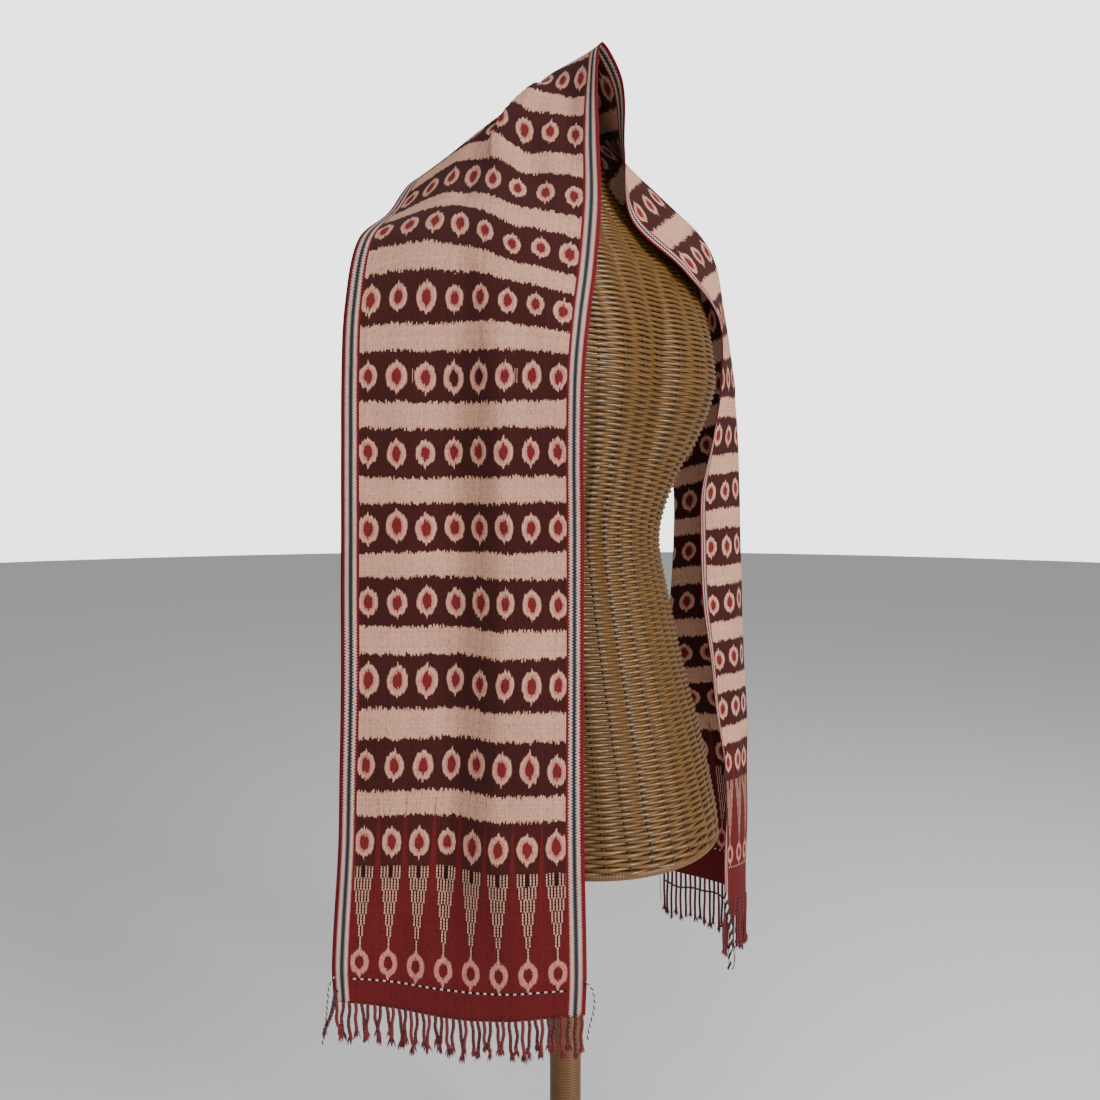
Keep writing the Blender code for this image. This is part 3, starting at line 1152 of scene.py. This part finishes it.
def tuft(rng: random.Random, tip: Vector, size: float, count: int,
         finishes: tuple[int, ...]) -> list[Strand]:
    """The frayed end of a cord.

    Args:
        rng: the source of chance.
        tip: where the cord ends.
        size: the length of the fray.
        count: how many threads it has.
        finishes: the finishes to choose from.

    Returns:
        Its threads, with a short knot above them.
    """
    made = []
    for _ in range(count):
        turn = rng.uniform(0, 2 * math.pi)
        lean = rng.uniform(0.05, 0.65)
        out = Vector((math.cos(turn), math.sin(turn), 0.0)) * lean
        reach = size * rng.uniform(0.6, 1.1)
        points = [tip + out * 0.0012 + Vector((0, 0, 0.001))]
        points.append(tip + out * reach * 0.6 + Vector((0, 0, -reach * 0.5)))
        points.append(tip + out * reach * 0.8 + Vector((0, 0, -reach)))
        made.append(Strand(points, [0.0006, 0.0005, 0.00015], rng.choice(finishes)))
    knot = [tip + Vector((0, 0, z)) for z in (0.003, 0.0017, 0.0, -0.0014)]
    made.append(Strand(knot, [0.0012, 0.0021, 0.0021, 0.001], finishes[0]))
    return made


@dataclass
class Drape:
    """The hanging cloth as a surface.

    Attributes:
        form: the form's solid.
        thickness: of the solid sheet, which sets how far it clears the form.
        clearance: air between the solid sheet and the form.
        reach: how near the form has to be to count.
        columns: cells of the solid from selvage to selvage.
        fine_step: mm from row to row of the solid's cells round the neck.
        coarse_step: the same along the hanging ends.
        neck: mm from the nape, where one turns into the other.
        end_gap: mm between the last row and the end of the table.
        fold_span: where the long soft fold starts and ends, as shares of the width.
        hem_fold: the same at the near hem, where the fold opens out.
        hem_from: mm from the nape, where it starts to open.
        turn_back: share of the width that is turned back outwards along the far end's outer selvage.
        turn_gap: mm between the two layers of the turned-back part.
        turn_reach: share of the width that the turn itself takes.
        turn_start: mm from the nape, where the turned-back part opens.
        turn_end: mm from the nape, where it closes again.
        curl_height: mm that the far end's inner selvage curls outwards.
        curl_width: share of the width that the curl takes.
        ease_passes: how many times the lifts are spread.
        ease: how much of a lift its neighbours take over.
        tree: the form's faces, for measuring distances.
        places: the rows of the solid's cells, in mm from the nape.
        lifts: how far each corner of those cells is lifted off the form.
    """

    form: bpy.types.Object
    thickness: float = 1.6 * MM
    clearance: float = 2.2 * MM
    reach: float = 40.0 * MM
    columns: int = 16
    fine_step: float = 14.0
    coarse_step: float = 30.0
    neck: float = 200.0
    end_gap: float = 5.4
    fold_span: tuple[float, float] = (0.33, 0.56)
    hem_fold: tuple[float, float] = (0.2, 0.9)
    hem_from: float = 860.0
    turn_back: float = 0.125
    turn_gap: float = 6.0
    turn_reach: float = 0.03
    turn_start: tuple[float, float] = (-300.0, -480.0)
    turn_end: tuple[float, float] = (-980.0, -780.0)
    curl_height: float = 6.5
    curl_width: float = 0.08
    ease_passes: int = 12
    ease: float = 0.98
    tree: BVHTree = field(init=False)
    places: list[float] = field(init=False)
    lifts: list[list[float]] = field(init=False)

    def __post_init__(self) -> None:
        """Measure the form and work out how far the cloth tents over it."""
        mesh = self.form.data
        faces = [tuple(p.vertices) for p in mesh.polygons]
        self.tree = BVHTree.FromPolygons([v.co for v in mesh.vertices], faces)
        self.places = self.row_places()
        self.lifts = self.eased(
            [[self.lift_needed(a, c / self.columns) for c in range(self.columns + 1)] for a in self.places]
        )

    def row_places(self) -> list[float]:
        """Where the solid's rows of cells lie along the cloth.

        Returns:
            Their distances from the nape in mm, from the near end to the far one.
        """
        near = SECTIONS[0].along - self.end_gap
        far = SECTIONS[-1].along + self.end_gap
        first = round((near - self.neck) / self.coarse_step)
        fine = round(2 * self.neck / self.fine_step)
        rest = round((-self.neck - far) / self.coarse_step)
        places = [near + (self.neck - near) * i / first for i in range(first)]
        places += [self.neck - 2 * self.neck * i / fine for i in range(fine)]
        return places + [-self.neck + (far + self.neck) * i / rest for i in range(rest + 1)]

    def bare(self, along: float, share: float) -> Vector:
        """A point of the cloth's middle layer before it is lifted off the form.

        Args:
            along: mm from the nape.
            share: share of the width from the inner selvage.

        Returns:
            The point in metres.
        """
        s = section_at(along)
        flat = 1.0 - self.turn_back * self.turned(along)
        over = max(share - flat, 0.0)
        place = (min(share, flat) - over) / flat
        values = (
            (s.inner_x, s.mid_x, s.outer_x),
            (s.inner_y, s.mid_y, s.outer_y),
            (s.inner_z, s.mid_z, s.outer_z),
        )
        point = Vector([curve_value((0.0, 0.5, 1.0), three, place) for three in values])
        out = Vector((s.inner_y - s.outer_y, s.outer_x - s.inner_x, 0.0)).normalized()
        opened = smooth(self.hem_from, SECTIONS[0].along, along)
        span = [a + (b - a) * opened for a, b in zip(self.fold_span, self.hem_fold)]
        offset = s.fold * (place - smooth(*span, place)) - self.turn_gap * min(over / self.turn_reach, 1.0)
        return (point + out * offset) * MM

    def turned(self, along: float) -> float:
        """How far the far end's outer selvage is turned back at one place, from 0 to 1."""
        return smooth(*self.turn_start, along) * smooth(*self.turn_end, along)

    def normal(self, along: float, share: float) -> Vector:
        """The outward normal of the middle layer.

        Args:
            along: mm from the nape.
            share: share of the width from the inner selvage.

        Returns:
            The unit normal.
        """
        a0, a1 = max(along - 4, SECTIONS[-1].along), min(along + 4, SECTIONS[0].along)
        t0, t1 = max(share - 0.006, 0.0), min(share + 0.006, 1.0)
        down = self.bare(a1, share) - self.bare(a0, share)
        return (self.bare(along, t1) - self.bare(along, t0)).cross(down).normalized()

    def lift_needed(self, along: float, share: float) -> float:
        """How far a point has to move along its normal to clear the form.

        Args:
            along: mm from the nape.
            share: share of the width from the inner selvage.

        Returns:
            The distance in metres.
        """
        point = self.bare(along, share)
        place, face_normal, _, distance = self.tree.find_nearest(point)
        if distance > self.reach:
            return 0.0
        height = (point - place).dot(face_normal)
        slant = max(self.normal(along, share).dot(face_normal), 0.5)
        return max(self.clearance + self.thickness / 2 - height, 0.0) / slant

    def eased(self, lifts: list[list[float]]) -> list[list[float]]:
        """Spread the lifts over their neighbours.

        Args:
            lifts: the lift of each corner, row by row, which is changed.

        Returns:
            The same rows.
        """
        for _ in range(self.ease_passes):
            before = [row[:] for row in lifts]
            for r, row in enumerate(before):
                for c, own in enumerate(row):
                    beside = [row[max(c - 1, 0)], row[min(c + 1, len(row) - 1)]]
                    beside += [before[max(r - 1, 0)][c], before[min(r + 1, len(before) - 1)][c]]
                    lifts[r][c] = max(own, self.ease * sum(beside) / 4)
        return lifts

    def lift(self, along: float, share: float) -> float:
        """The eased lift at any point, between the corners of the solid's cells.

        Args:
            along: mm from the nape.
            share: share of the width from the inner selvage.

        Returns:
            The lift in metres.
        """
        r = 0
        while r < len(self.places) - 2 and self.places[r + 1] > along:
            r += 1
        u = min(max((self.places[r] - along) / (self.places[r] - self.places[r + 1]), 0.0), 1.0)
        c = min(int(share * self.columns), self.columns - 1)
        v = share * self.columns - c
        above = self.lifts[r][c] * (1 - v) + self.lifts[r][c + 1] * v
        below = self.lifts[r + 1][c] * (1 - v) + self.lifts[r + 1][c + 1] * v
        return above * (1 - u) + below * u

    def ripple(self, along: float, share: float) -> float:
        """Small unevenness of the free cloth.

        Args:
            along: mm from the nape.
            share: share of the width from the inner selvage.

        Returns:
            Its height in mm.
        """
        broad = noise.noise(Vector((share * 2.6, along / 95.0, 1.7)))
        long_soft = noise.noise(Vector((share * 6.5, along / 260.0, 8.2)))
        doubled = smooth(0.7, 0.8, share) * self.turned(along)
        return (1.6 * broad + 1.5 * long_soft) * (1 - doubled)

    def creased(self, along: float, share: float, free: float) -> float:
        """The height of the listed creases at one point, in mm.

        Args:
            along: mm from the nape.
            share: share of the width from the inner selvage.
            free: 0 where the cloth lies on the form, 1 where it hangs free.

        Returns:
            The height, in which troughs count only where the cloth hangs free.
        """
        height = 0.0
        for crease in CREASES:
            own = crease.height_at(along, share)
            height += own if own > 0 else own * free
        curl = smooth(-330.0, -460.0, along) * smooth(-1110.0, -1000.0, along)
        return height + self.curl_height * curl * max(1 - share / self.curl_width, 0.0) ** 1.2

    def point(self, along: float, share: float) -> Vector:
        """A point of the finished cloth's middle layer.

        Args:
            along: mm from the nape.
            share: share of the width from the inner selvage.

        Returns:
            The point in metres.
        """
        along += curve_value(*SHEAR, share) * smooth(20, 105, along) * smooth(370, 250, along)
        bare = self.bare(along, share)
        free = smooth(6 * MM, 30 * MM, self.tree.find_nearest(bare)[3])
        own = self.ripple(along, share) * free + self.creased(along, share, free)
        return bare + self.normal(along, share) * (self.lift(along, share) + own * MM)


@dataclass
class Shawl:
    """The woven cloth.

    Attributes:
        drape: its surface.
        thickness: of the visible cloth.
        cells_across: cells from selvage to selvage.
        cells_along: cells from end to end.
    """

    drape: Drape
    thickness: float = 0.9 * MM
    cells_across: int = 64
    cells_along: int = 520

    def build(self) -> bpy.types.Object:
        """Bend a fine grid into the hanging cloth and give it its thickness.

        Returns:
            The cloth.
        """
        bm = bmesh.new()
        uv = bm.loops.layers.uv.new("cloth")
        bmesh.ops.create_grid(bm, x_segments=self.cells_across, y_segments=self.cells_along, size=0.5)
        for face in bm.faces:
            for loop in face.loops:
                loop[uv].uv = (loop.vert.co.x + 0.5, loop.vert.co.y + 0.5)
        length = SECTIONS[0].along - SECTIONS[-1].along
        for vert in bm.verts:
            along = round(SECTIONS[-1].along + (vert.co.y + 0.5) * length, 3)
            vert.co = self.drape.point(along, min(max(vert.co.x + 0.5, 0.0), 1.0))
        obj = mesh_piece("woven_shawl", bm, (IkatFinish(),))
        wall = obj.modifiers.new("thickness", "SOLIDIFY")
        wall.thickness = self.thickness
        wall.offset = 0.0
        return place_piece(obj, "shawl_cloth")


@dataclass
class Fringe:
    """The twisted cords at one end of the cloth.

    Attributes:
        drape: the cloth's surface.
        end: mm from the nape, with the half's sign.
        length: of a usual cord, in metres.
        role: its material slot; not used.
        node: the solid that it stands for.
        name: the piece's name.
        netted: whether a twined row crosses the cords.
        cords: how many there are.
        radius: of a cord.
        turn: the length of one full twist.
        step: from point to point of a cord.
        fray: how much shorter a cord is than the fringe, for its frayed end.
        fray_threads: how many threads a frayed end has.
        seed: of the cords' unevenness.
        across: the direction along the hem.
        out: the direction away from the cloth's face.
    """

    drape: Drape
    end: float
    length: float
    role: Role
    node: str
    name: str
    netted: bool = False
    cords: int = 40
    radius: float = 2.0 * MM
    turn: float = 5.2 * MM
    step: float = 0.8 * MM
    fray: float = 9 * MM
    fray_threads: int = 22
    seed: int = 3
    across: Vector = field(init=False)
    out: Vector = field(init=False)

    def __post_init__(self) -> None:
        """Find the directions of the hem."""
        self.across = (self.drape.point(self.end, 0.55) - self.drape.point(self.end, 0.45)).normalized()
        self.out = self.drape.normal(self.end, 0.5)

    def root(self, share: float) -> Vector:
        """Where a cord leaves the hem."""
        return self.drape.point(self.end, share) + Vector((0, 0, 1.5 * MM))

    def cord_line(self, rng: random.Random, number: int) -> list[Vector]:
        """The middle of one cord, which leans towards its partner and waves a little.

        Args:
            rng: the source of chance.
            number: which cord, from the inner selvage.

        Returns:
            Its points.
        """
        share = (number + 0.5) / self.cords
        uneven = (4.0 * math.sin(number * 2.4) + 2.5 * math.sin(number * 0.7 + 1.0)) * MM
        length = self.length + uneven - self.fray
        lean = (2.2 if number % 2 == 0 else -2.2) * rng.uniform(0.1, 1.3) * MM
        sway = rng.uniform(-2.2, 2.2) * MM
        bow = rng.uniform(-2.4, 2.4) * MM
        phase = rng.uniform(0, math.pi)
        steps = max(int(length / self.step), 4)
        root = self.root(share)
        line = []
        for i in range(steps + 1):
            u = i / steps
            side = lean * u * u + sway * math.sin(math.pi * u) * u + 0.5 * MM * math.sin(phase + 9 * u)
            depth = bow * math.sin(math.pi * u * 0.8) * u
            line.append(root + self.across * side + self.out * depth + Vector((0, 0, -length * u)))
        return line

    def twined_row(self, drop: float) -> list[Strand]:
        """The row of twining that crosses the cords.

        Args:
            drop: its mean distance below the hem.

        Returns:
            Its strands.
        """
        line = []
        count = self.cords * 6
        for i in range(count + 1):
            share = 0.012 + 0.976 * i / count
            wave = (2.2 * math.sin(share * 19.0) + 1.2 * math.sin(share * 47.0)) * MM
            line.append(self.root(share) + Vector((0, 0, -drop + wave)))
        return twisted(line, Vector((0, 0, 1)), self.out, 1.7 * MM, 5.5 * MM, (Yarn.DEEP, Yarn.RED))

    def build(self, extras: list[Strand]) -> bpy.types.Object:
        """Twist all the cords and fray their ends.

        Args:
            extras: tails and loose threads of this end.

        Returns:
            The fringe.
        """
        rng = random.Random(self.seed)
        strands = list(extras)
        for number in range(self.cords):
            line = self.cord_line(rng, number)
            plies = (Yarn.RED, Yarn.DEEP) if number % 3 else (Yarn.RED, Yarn.RED)
            strands += twisted(line, self.across, self.out, self.radius, self.turn, plies, rng.uniform(0, 6))
            frays = (Yarn.RED, Yarn.DEEP, Yarn.RED)
            strands += tuft(rng, line[-1], rng.uniform(7.0, 11.0) * MM, self.fray_threads, frays)
        if self.netted:
            strands += self.twined_row(22 * MM)
        obj = strand_piece(self.name, strands, YARNS, 1)
        return place_piece(obj, self.node)


@dataclass
class WovenForm:
    """The rattan body: rows of weavers over and under upright stakes, with a wrapped rim.

    Attributes:
        stakes: how many uprights.
        steps: points of a weaver for each stake.
        pitch: from row to row along the surface.
        depth: how far the weave's middle lies inside the solid's face.
        swing: how far a weaver moves in and out.
        thin: radius of a weaver between two stakes.
        thick: radius of a weaver at a stake.
        stake_radius: radius of an upright.
        bust_angle: from the front to the middle of each side of the bust.
        bust_spread: how far round it swells.
        rim_length: round the lower edge.
        wrap: from turn to turn of the rim's wrapping.
        rim_radius: radius of the rim.
    """

    stakes: int = 36
    steps: int = 4
    pitch: float = 3.15
    depth: float = 3.3 * MM
    swing: float = 2.15 * MM
    thin: float = 1.72 * MM
    thick: float = 2.11 * MM
    stake_radius: float = 2.1 * MM
    bust_angle: float = math.radians(36)
    bust_spread: float = math.radians(24)
    rim_length: float = 2 * math.pi * 0.156
    wrap: float = 3.5 * MM
    rim_radius: float = 4.4 * MM

    def surface(self, step: float, angle: float) -> Vector:
        """A point of the solid's face.

        Args:
            step: the level, counted in rows of the table.
            angle: round the form from its front.

        Returns:
            The point in metres.
        """
        level = level_at(step)
        x = level.half_width * math.sin(angle)
        y = -level.half_depth * math.cos(angle)
        reach = math.hypot(x, y)
        turn = abs((angle + math.pi) % (2 * math.pi) - math.pi)
        swell = level.bust * math.exp(-0.5 * ((turn - self.bust_angle) / self.bust_spread) ** 2)
        x *= 1 + swell / reach
        y *= 1 + swell / reach
        return Vector((x + level.centre_x, y + level.centre_y, level.height)) * MM

    def normal(self, step: float, angle: float) -> Vector:
        """The solid's outward normal.

        Args:
            step: the level, counted in rows of the table.
            angle: round the form from its front.

        Returns:
            The unit normal.
        """
        low, high = max(step - 0.03, 0.0), min(step + 0.03, len(LEVELS) - 1.0)
        up = self.surface(round(high, 4), angle) - self.surface(round(low, 4), angle)
        side = self.surface(step, angle + 0.01) - self.surface(step, angle - 0.01)
        return side.cross(up).normalized()

    def rows(self) -> list[float]:
        """Space the rows of weaving evenly along the form's mean profile, a little wider near the rim.

        Returns:
            The level of each, counted in rows of the table.
        """
        fine = 40
        steps = [i / fine for i in range((len(LEVELS) - 1) * fine + 1)]
        gone = [0.0]
        for a, b in zip(steps, steps[1:]):
            low, high = level_at(a), level_at(b)
            inward = (high.half_width + high.half_depth - low.half_width - low.half_depth) / 2
            gone.append(gone[-1] + math.hypot(high.height - low.height, inward))
        rows, place, k = [], 8.0, 0
        while place < gone[-1]:
            while gone[k + 1] < place:
                k += 1
            u = (place - gone[k]) / (gone[k + 1] - gone[k])
            rows.append(round(steps[k] + u / fine, 4))
            place += self.pitch + 1.6 * smooth(60.0, 10.0, place)
        return rows

    def weaver(self, step: float, following: float, parity: int) -> Strand:
        """One row, which passes over every second stake.

        Args:
            step: its level.
            following: the level of the row above.
            parity: 0 or 1, which stakes it passes over.

        Returns:
            The closed strand.
        """
        count = self.stakes * self.steps
        points, radii = [], []
        for i in range(count):
            angle = 2 * math.pi * i / count
            wave = math.cos(self.stakes * angle / 2) * (1 if parity else -1)
            uneven = noise.noise(Vector((math.cos(angle) * 1.5, math.sin(angle) * 1.5, step * 0.8)))
            jog = noise.noise(Vector((angle * 7.0, step * 31.0, 4.0)))
            place = self.surface(step, angle) + self.normal(step, angle) * (self.swing * wave - self.depth)
            points.append(place + Vector((0, 0, 1)) * (1.4 * uneven + 0.35 * jog) * MM)
            apart = (self.surface(following, angle) - self.surface(step, angle)).length / (self.pitch * MM)
            radii.append((self.thin + (self.thick - self.thin) * abs(wave)) * min(max(apart, 1.0), 1.3))
        return Strand(points, radii, 0, True)

    def build_weave(self) -> list[bpy.types.Object]:
        """Weave the body in three pieces, one above the other.

        Returns:
            The pieces.
        """
        rows = self.rows()
        third = len(rows) // 3 + 1
        made = []
        for part, name in enumerate(("weave_lower", "weave_middle", "weave_upper")):
            chosen = range(part * third, min((part + 1) * third, len(rows)))
            strands = [self.weaver(rows[k], rows[min(k + 1, len(rows) - 1)], k % 2) for k in chosen]
            made.append(place_piece(strand_piece(name, strands, (CANE,), 1), "form_torso"))
        return made

    def build_stakes(self) -> bpy.types.Object:
        """The uprights from the rim to the top of the neck. Their cane is darker than the weavers', partly
        as painted shade in the gaps of the weave.

        Returns:
            The piece.
        """
        strands = []
        top = len(LEVELS) - 3.2
        for number in range(self.stakes):
            angle = 2 * math.pi * number / self.stakes
            points = []
            for i in range(101):
                step = round(0.1 + (top - 0.1) * i / 100, 4)
                points.append(self.surface(step, angle) - self.normal(step, angle) * (self.depth + 0.2 * MM))
            strands.append(Strand(points, [self.stake_radius] * len(points)))
        return place_piece(strand_piece("stakes", strands, (STAKE_PAINTED_SHADE,), 0))

    def build_rim(self) -> bpy.types.Object:
        """The wrapped rim along the lower edge.

        Returns:
            The piece.
        """
        count = round(self.rim_length / self.wrap) * 3
        points, radii = [], []
        for i in range(count):
            angle = 2 * math.pi * i / count
            low = self.surface(0.0, angle)
            inward = self.normal(0.05, angle)
            points.append(low - inward * self.rim_radius + Vector((0, 0, self.rim_radius)))
            radii.append(self.rim_radius - (0.55 * MM if i % 3 == 0 else 0.0))
        strand = Strand(points, radii, 0, True)
        return place_piece(strand_piece("wrapped_rim", [strand], (WOUND,), 2))

    def build_board(self) -> bpy.types.Object:
        """The thin board inside the rim that the pole carries.

        Returns:
            The piece.
        """
        bm = bmesh.new()
        disc = bmesh.ops.create_circle(bm, cap_ends=True, segments=96, radius=1.0)
        for vert in disc["verts"]:
            angle = math.atan2(vert.co.x, -vert.co.y)
            vert.co = self.surface(0.0, angle) - self.normal(0.05, angle) * 7 * MM + Vector((0, 0, 1.5 * MM))
        thicken(bm, 5 * MM)
        bmesh.ops.recalc_face_normals(bm, faces=bm.faces)
        return place_piece(mesh_piece("form_board", bm, (OAK,), True))


@dataclass
class Stand:
    """The wound pole and the round base.

    Attributes:
        turn: the pitch of the cane that is wound round the pole.
        groove: how deep the joints between its turns are.
        shoulder: how much lower a turn is beside its joint.
        sides: of the pole. The base has three times as many.
        easing: width of the base's rounded top edge.
    """

    turn: float = 3.4 * MM
    groove: float = 1.3 * MM
    shoulder: float = 0.15 * MM
    sides: int = 48
    easing: float = 5 * MM

    def build_pole(self) -> bpy.types.Object:
        """Spin the pole's scalloped outline.

        Returns:
            The pole.
        """
        low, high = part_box("form_pole")
        radius = (high.x - low.x) / 2
        top = high.z + 2 * MM
        turns = round((top - low.z) / self.turn)
        pitch = (top - low.z) / turns
        bm = bmesh.new()
        heights = [(low.z, radius - self.groove)]
        for number in range(turns):
            base = low.z + number * pitch
            heights += [(base + pitch * 0.2, radius - self.shoulder), (base + pitch * 0.5, radius)]
            heights += [(base + pitch * 0.8, radius - self.shoulder), (base + pitch, radius - self.groove)]
        outline = [bm.verts.new((r, 0.0, z)) for z, r in heights]
        edges = [bm.edges.new(pair) for pair in zip(outline, outline[1:])]
        bmesh.ops.spin(
            bm, geom=outline + edges, cent=(0, 0, 0), axis=(0, 0, 1), angle=2 * math.pi,
            steps=self.sides, use_merge=True, use_duplicate=False,
        )
        bmesh.ops.holes_fill(bm, edges=[e for e in bm.edges if e.is_boundary], sides=0)
        bmesh.ops.recalc_face_normals(bm, faces=bm.faces)
        return place_piece(mesh_piece("wound_pole", bm, (WOUND,)), "form_pole")

    def build_base(self) -> bpy.types.Object:
        """Turn the base with an eased top edge.

        Returns:
            The base.
        """
        low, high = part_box("form_base")
        radius = (high.x - low.x) / 2
        bm = bmesh.new()
        bmesh.ops.create_circle(bm, cap_ends=True, segments=self.sides * 3, radius=radius)
        thicken(bm, high.z)
        rim = [e for e in bm.edges if min(v.co.z for v in e.verts) > high.z / 2]
        bmesh.ops.bevel(
            bm, geom=rim, offset=self.easing, offset_type="OFFSET", affect="EDGES", segments=5, profile=0.5,
            material=-1,
        )
        bmesh.ops.recalc_face_normals(bm, faces=bm.faces)
        obj = mesh_piece("turned_base", bm, (OAK,))
        obj.data.set_sharp_from_angle(angle=math.radians(40))
        return place_piece(obj, "form_base")


@dataclass
class Studio:
    """The floor, the soft light and the camera.

    Attributes:
        spot: where the camera stands.
        focal: focal length in pixels of a frame that is 1100 pixels wide.
        frame_width: that width.
        pitch: how far it looks down, in degrees.
        heading: which way it looks, in degrees from +Y.
        pale: the floor.
        surround: strength of the even light.
        backdrop: how much brighter the backdrop looks than it lights.
    """

    spot: Vector = field(default_factory=lambda: Vector((-0.7207, -0.6935, 0.93)))
    focal: float = 830.0
    frame_width: float = 1100.0
    pitch: float = 3.45
    heading: float = -45.0
    pale: Colour = (0.9, 0.9, 0.9)
    surround: float = 0.38
    backdrop: float = 2.5

    def build_floor(self) -> None:
        """A wide pale floor."""
        bm = bmesh.new()
        bmesh.ops.create_circle(bm, cap_ends=True, segments=64, radius=14.0)
        mesh = bpy.data.meshes.new("floor")
        bm.to_mesh(mesh)
        bm.free()
        paint = bpy.data.materials.new("pale_floor")
        paint.use_nodes = True
        shader = paint.node_tree.nodes["Principled BSDF"]
        shader.inputs["Base Color"].default_value = (*self.pale, 1.0)
        shader.inputs["Roughness"].default_value = 0.9
        mesh.materials.append(paint)
        floor = bpy.data.objects.new("floor", mesh)
        bpy.context.scene.collection.objects.link(floor)

    def build_light(self) -> None:
        """A bright even surround with one large soft light and two weaker ones."""
        world = bpy.data.worlds.new("studio")
        bpy.context.scene.world = world
        world.use_nodes = True
        back = world.node_tree.nodes["Background"]
        back.inputs["Color"].default_value = (1.0, 1.0, 1.0, 1.0)
        wires = Wiring(world.node_tree)
        seen = wires.node("ShaderNodeLightPath").outputs["Is Camera Ray"]
        wires.feed(back.inputs["Strength"], wires.add(self.surround, wires.times(seen, self.backdrop)))
        self.add_light("key", Vector((0.2, -2.4, 1.7)), 76.0, 1.2)
        self.add_light("top", Vector((-0.7, -0.5, 2.9)), 16.0, 1.3)
        self.add_light("fill", Vector((-2.0, -1.3, 1.3)), 12.0, 1.4)

    def add_light(self, name: str, spot: Vector, power: float, size: float) -> None:
        """Add a square area light that faces the form.

        Args:
            name: its name.
            spot: where it hangs.
            power: in watts.
            size: its side.
        """
        data = bpy.data.lights.new(name, "AREA")
        data.energy = power
        data.size = size
        light = bpy.data.objects.new(name, data)
        light.location = spot
        light.rotation_euler = (Vector((0, 0, 0.9)) - spot).to_track_quat("-Z", "Y").to_euler()
        bpy.context.scene.collection.objects.link(light)

    def build_camera(self) -> None:
        """The camera at the photograph's angle."""
        data = bpy.data.cameras.new("camera")
        data.sensor_width = 36.0
        data.lens = self.focal / self.frame_width * data.sensor_width
        data.clip_start = 0.05
        camera = bpy.data.objects.new("camera", data)
        camera.location = self.spot
        camera.rotation_euler = (math.radians(90 - self.pitch), 0.0, math.radians(self.heading))
        bpy.context.scene.collection.objects.link(camera)
        bpy.context.scene.camera = camera


def hanging(root: Vector, direction: Vector, places: tuple[tuple[float, float], ...]) -> list[Vector]:
    """A smooth line through given points that hang from the hem.

    Args:
        root: where the places are measured from.
        direction: sideways.
        places: mm sideways and mm upwards of each point.

    Returns:
        The line.
    """
    return smoothed([root + direction * x * MM + Vector((0, 0, z * MM)) for x, z in places])


def near_extras(fringe: Fringe) -> list[Strand]:
    """The corner tail and the loose threads of the near end.

    Args:
        fringe: the near fringe.

    Returns:
        The strands.
    """
    made = []
    across, out = fringe.across, fringe.out
    outer, inner = fringe.root(1.0), fringe.root(0.0)
    tail = hanging(outer, across, ((-3, 10), (-1, 2), (1, -8), (4, -18), (8, -27), (11, -34)))
    made += twisted(tail, across, out, 2.3 * MM, 8 * MM, (Yarn.RED, Yarn.NAVY))
    made += tuft(random.Random(5), tail[-1], 8 * MM, 18, (Yarn.RED, Yarn.DEEP, Yarn.NAVY))
    for root, places in (
        (outer, ((0, 24), (5, 14), (7, 0), (9, -20), (12, -40), (14, -50))),
        (inner, ((0, 32), (-6, 27), (-9, 17), (-8, 2), (-4, -14), (-2, -28))),
    ):
        loose = hanging(root, across, places)
        made += twisted(loose, across, out, 1.1 * MM, 6.5 * MM, (Yarn.NAVY, Yarn.WHITE))
    return made


def far_extras(fringe: Fringe) -> list[Strand]:
    """The thick tail, the thread loop and the loose thread of the far end.

    Args:
        fringe: the far fringe.

    Returns:
        The strands.
    """
    across, out = fringe.across, fringe.out
    outer, inner = fringe.root(1.0), fringe.root(0.0)
    places = ((1, 14), (2, 0), (4, -14), (9, -34), (10, -52), (9, -70), (9, -90), (8, -97))
    tail = hanging(inner, out, places)
    made = twisted(tail, across, out, 2.6 * MM, 15 * MM, (Yarn.WHITE, Yarn.NAVY))
    loop = []
    for i in range(25):
        a = math.pi + 2 * math.pi * i / 24
        drop = Vector((0, 0, (-84 - 14 * math.cos(a)) * MM))
        loop.append(inner + out * (13 + 4 * math.sin(a)) * MM + drop)
    made += twisted(loop, across, out, 0.8 * MM, 4 * MM, (Yarn.RED, Yarn.RED))
    loose = hanging(outer, across, ((0, 10), (5, 0), (7, -20), (5, -40), (3, -58)))
    return made + twisted(loose, across, out, 0.8 * MM, 4.5 * MM, (Yarn.WHITE, Yarn.NAVY))


def smoothed(points: list[Vector], per_span: int = 12) -> list[Vector]:
    """Fill a given line with smooth points between its own.

    Args:
        points: the line.
        per_span: how many points each stretch gets.

    Returns:
        The finer line.
    """
    keys = tuple(float(i) for i in range(len(points)))
    count = (len(points) - 1) * per_span
    line = []
    for i in range(count + 1):
        at = i / per_span
        line.append(Vector([curve_value(keys, tuple(p[axis] for p in points), at) for axis in range(3)]))
    return line


def main() -> None:
    """Build the scene in order and report each piece."""
    logging.basicConfig(level=logging.INFO, format="%(name)s: %(message)s")
    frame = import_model()
    studio = Studio()
    studio.build_camera()
    studio.build_light()
    studio.build_floor()

    form = WovenForm()
    weave = form.build_weave()
    form.build_stakes()
    form.build_rim()
    form.build_board()
    stand = Stand()
    stand.build_pole()
    stand.build_base()

    drape = Drape(frame["nodes"]["form_torso"])
    cloth = Shawl(drape).build()
    near = Fringe(drape, SECTIONS[0].along, NEAR_LENGTH, Role.NEAR_FRINGE, "fringe_near", "near_cords")
    near_cords = near.build(near_extras(near))
    far = Fringe(drape, SECTIONS[-1].along, FAR_LENGTH, Role.FAR_FRINGE, "fringe_far", "far_cords",
                 netted=True, seed=8)
    far_cords = far.build(far_extras(far))


if __name__ == "__main__":
    main()
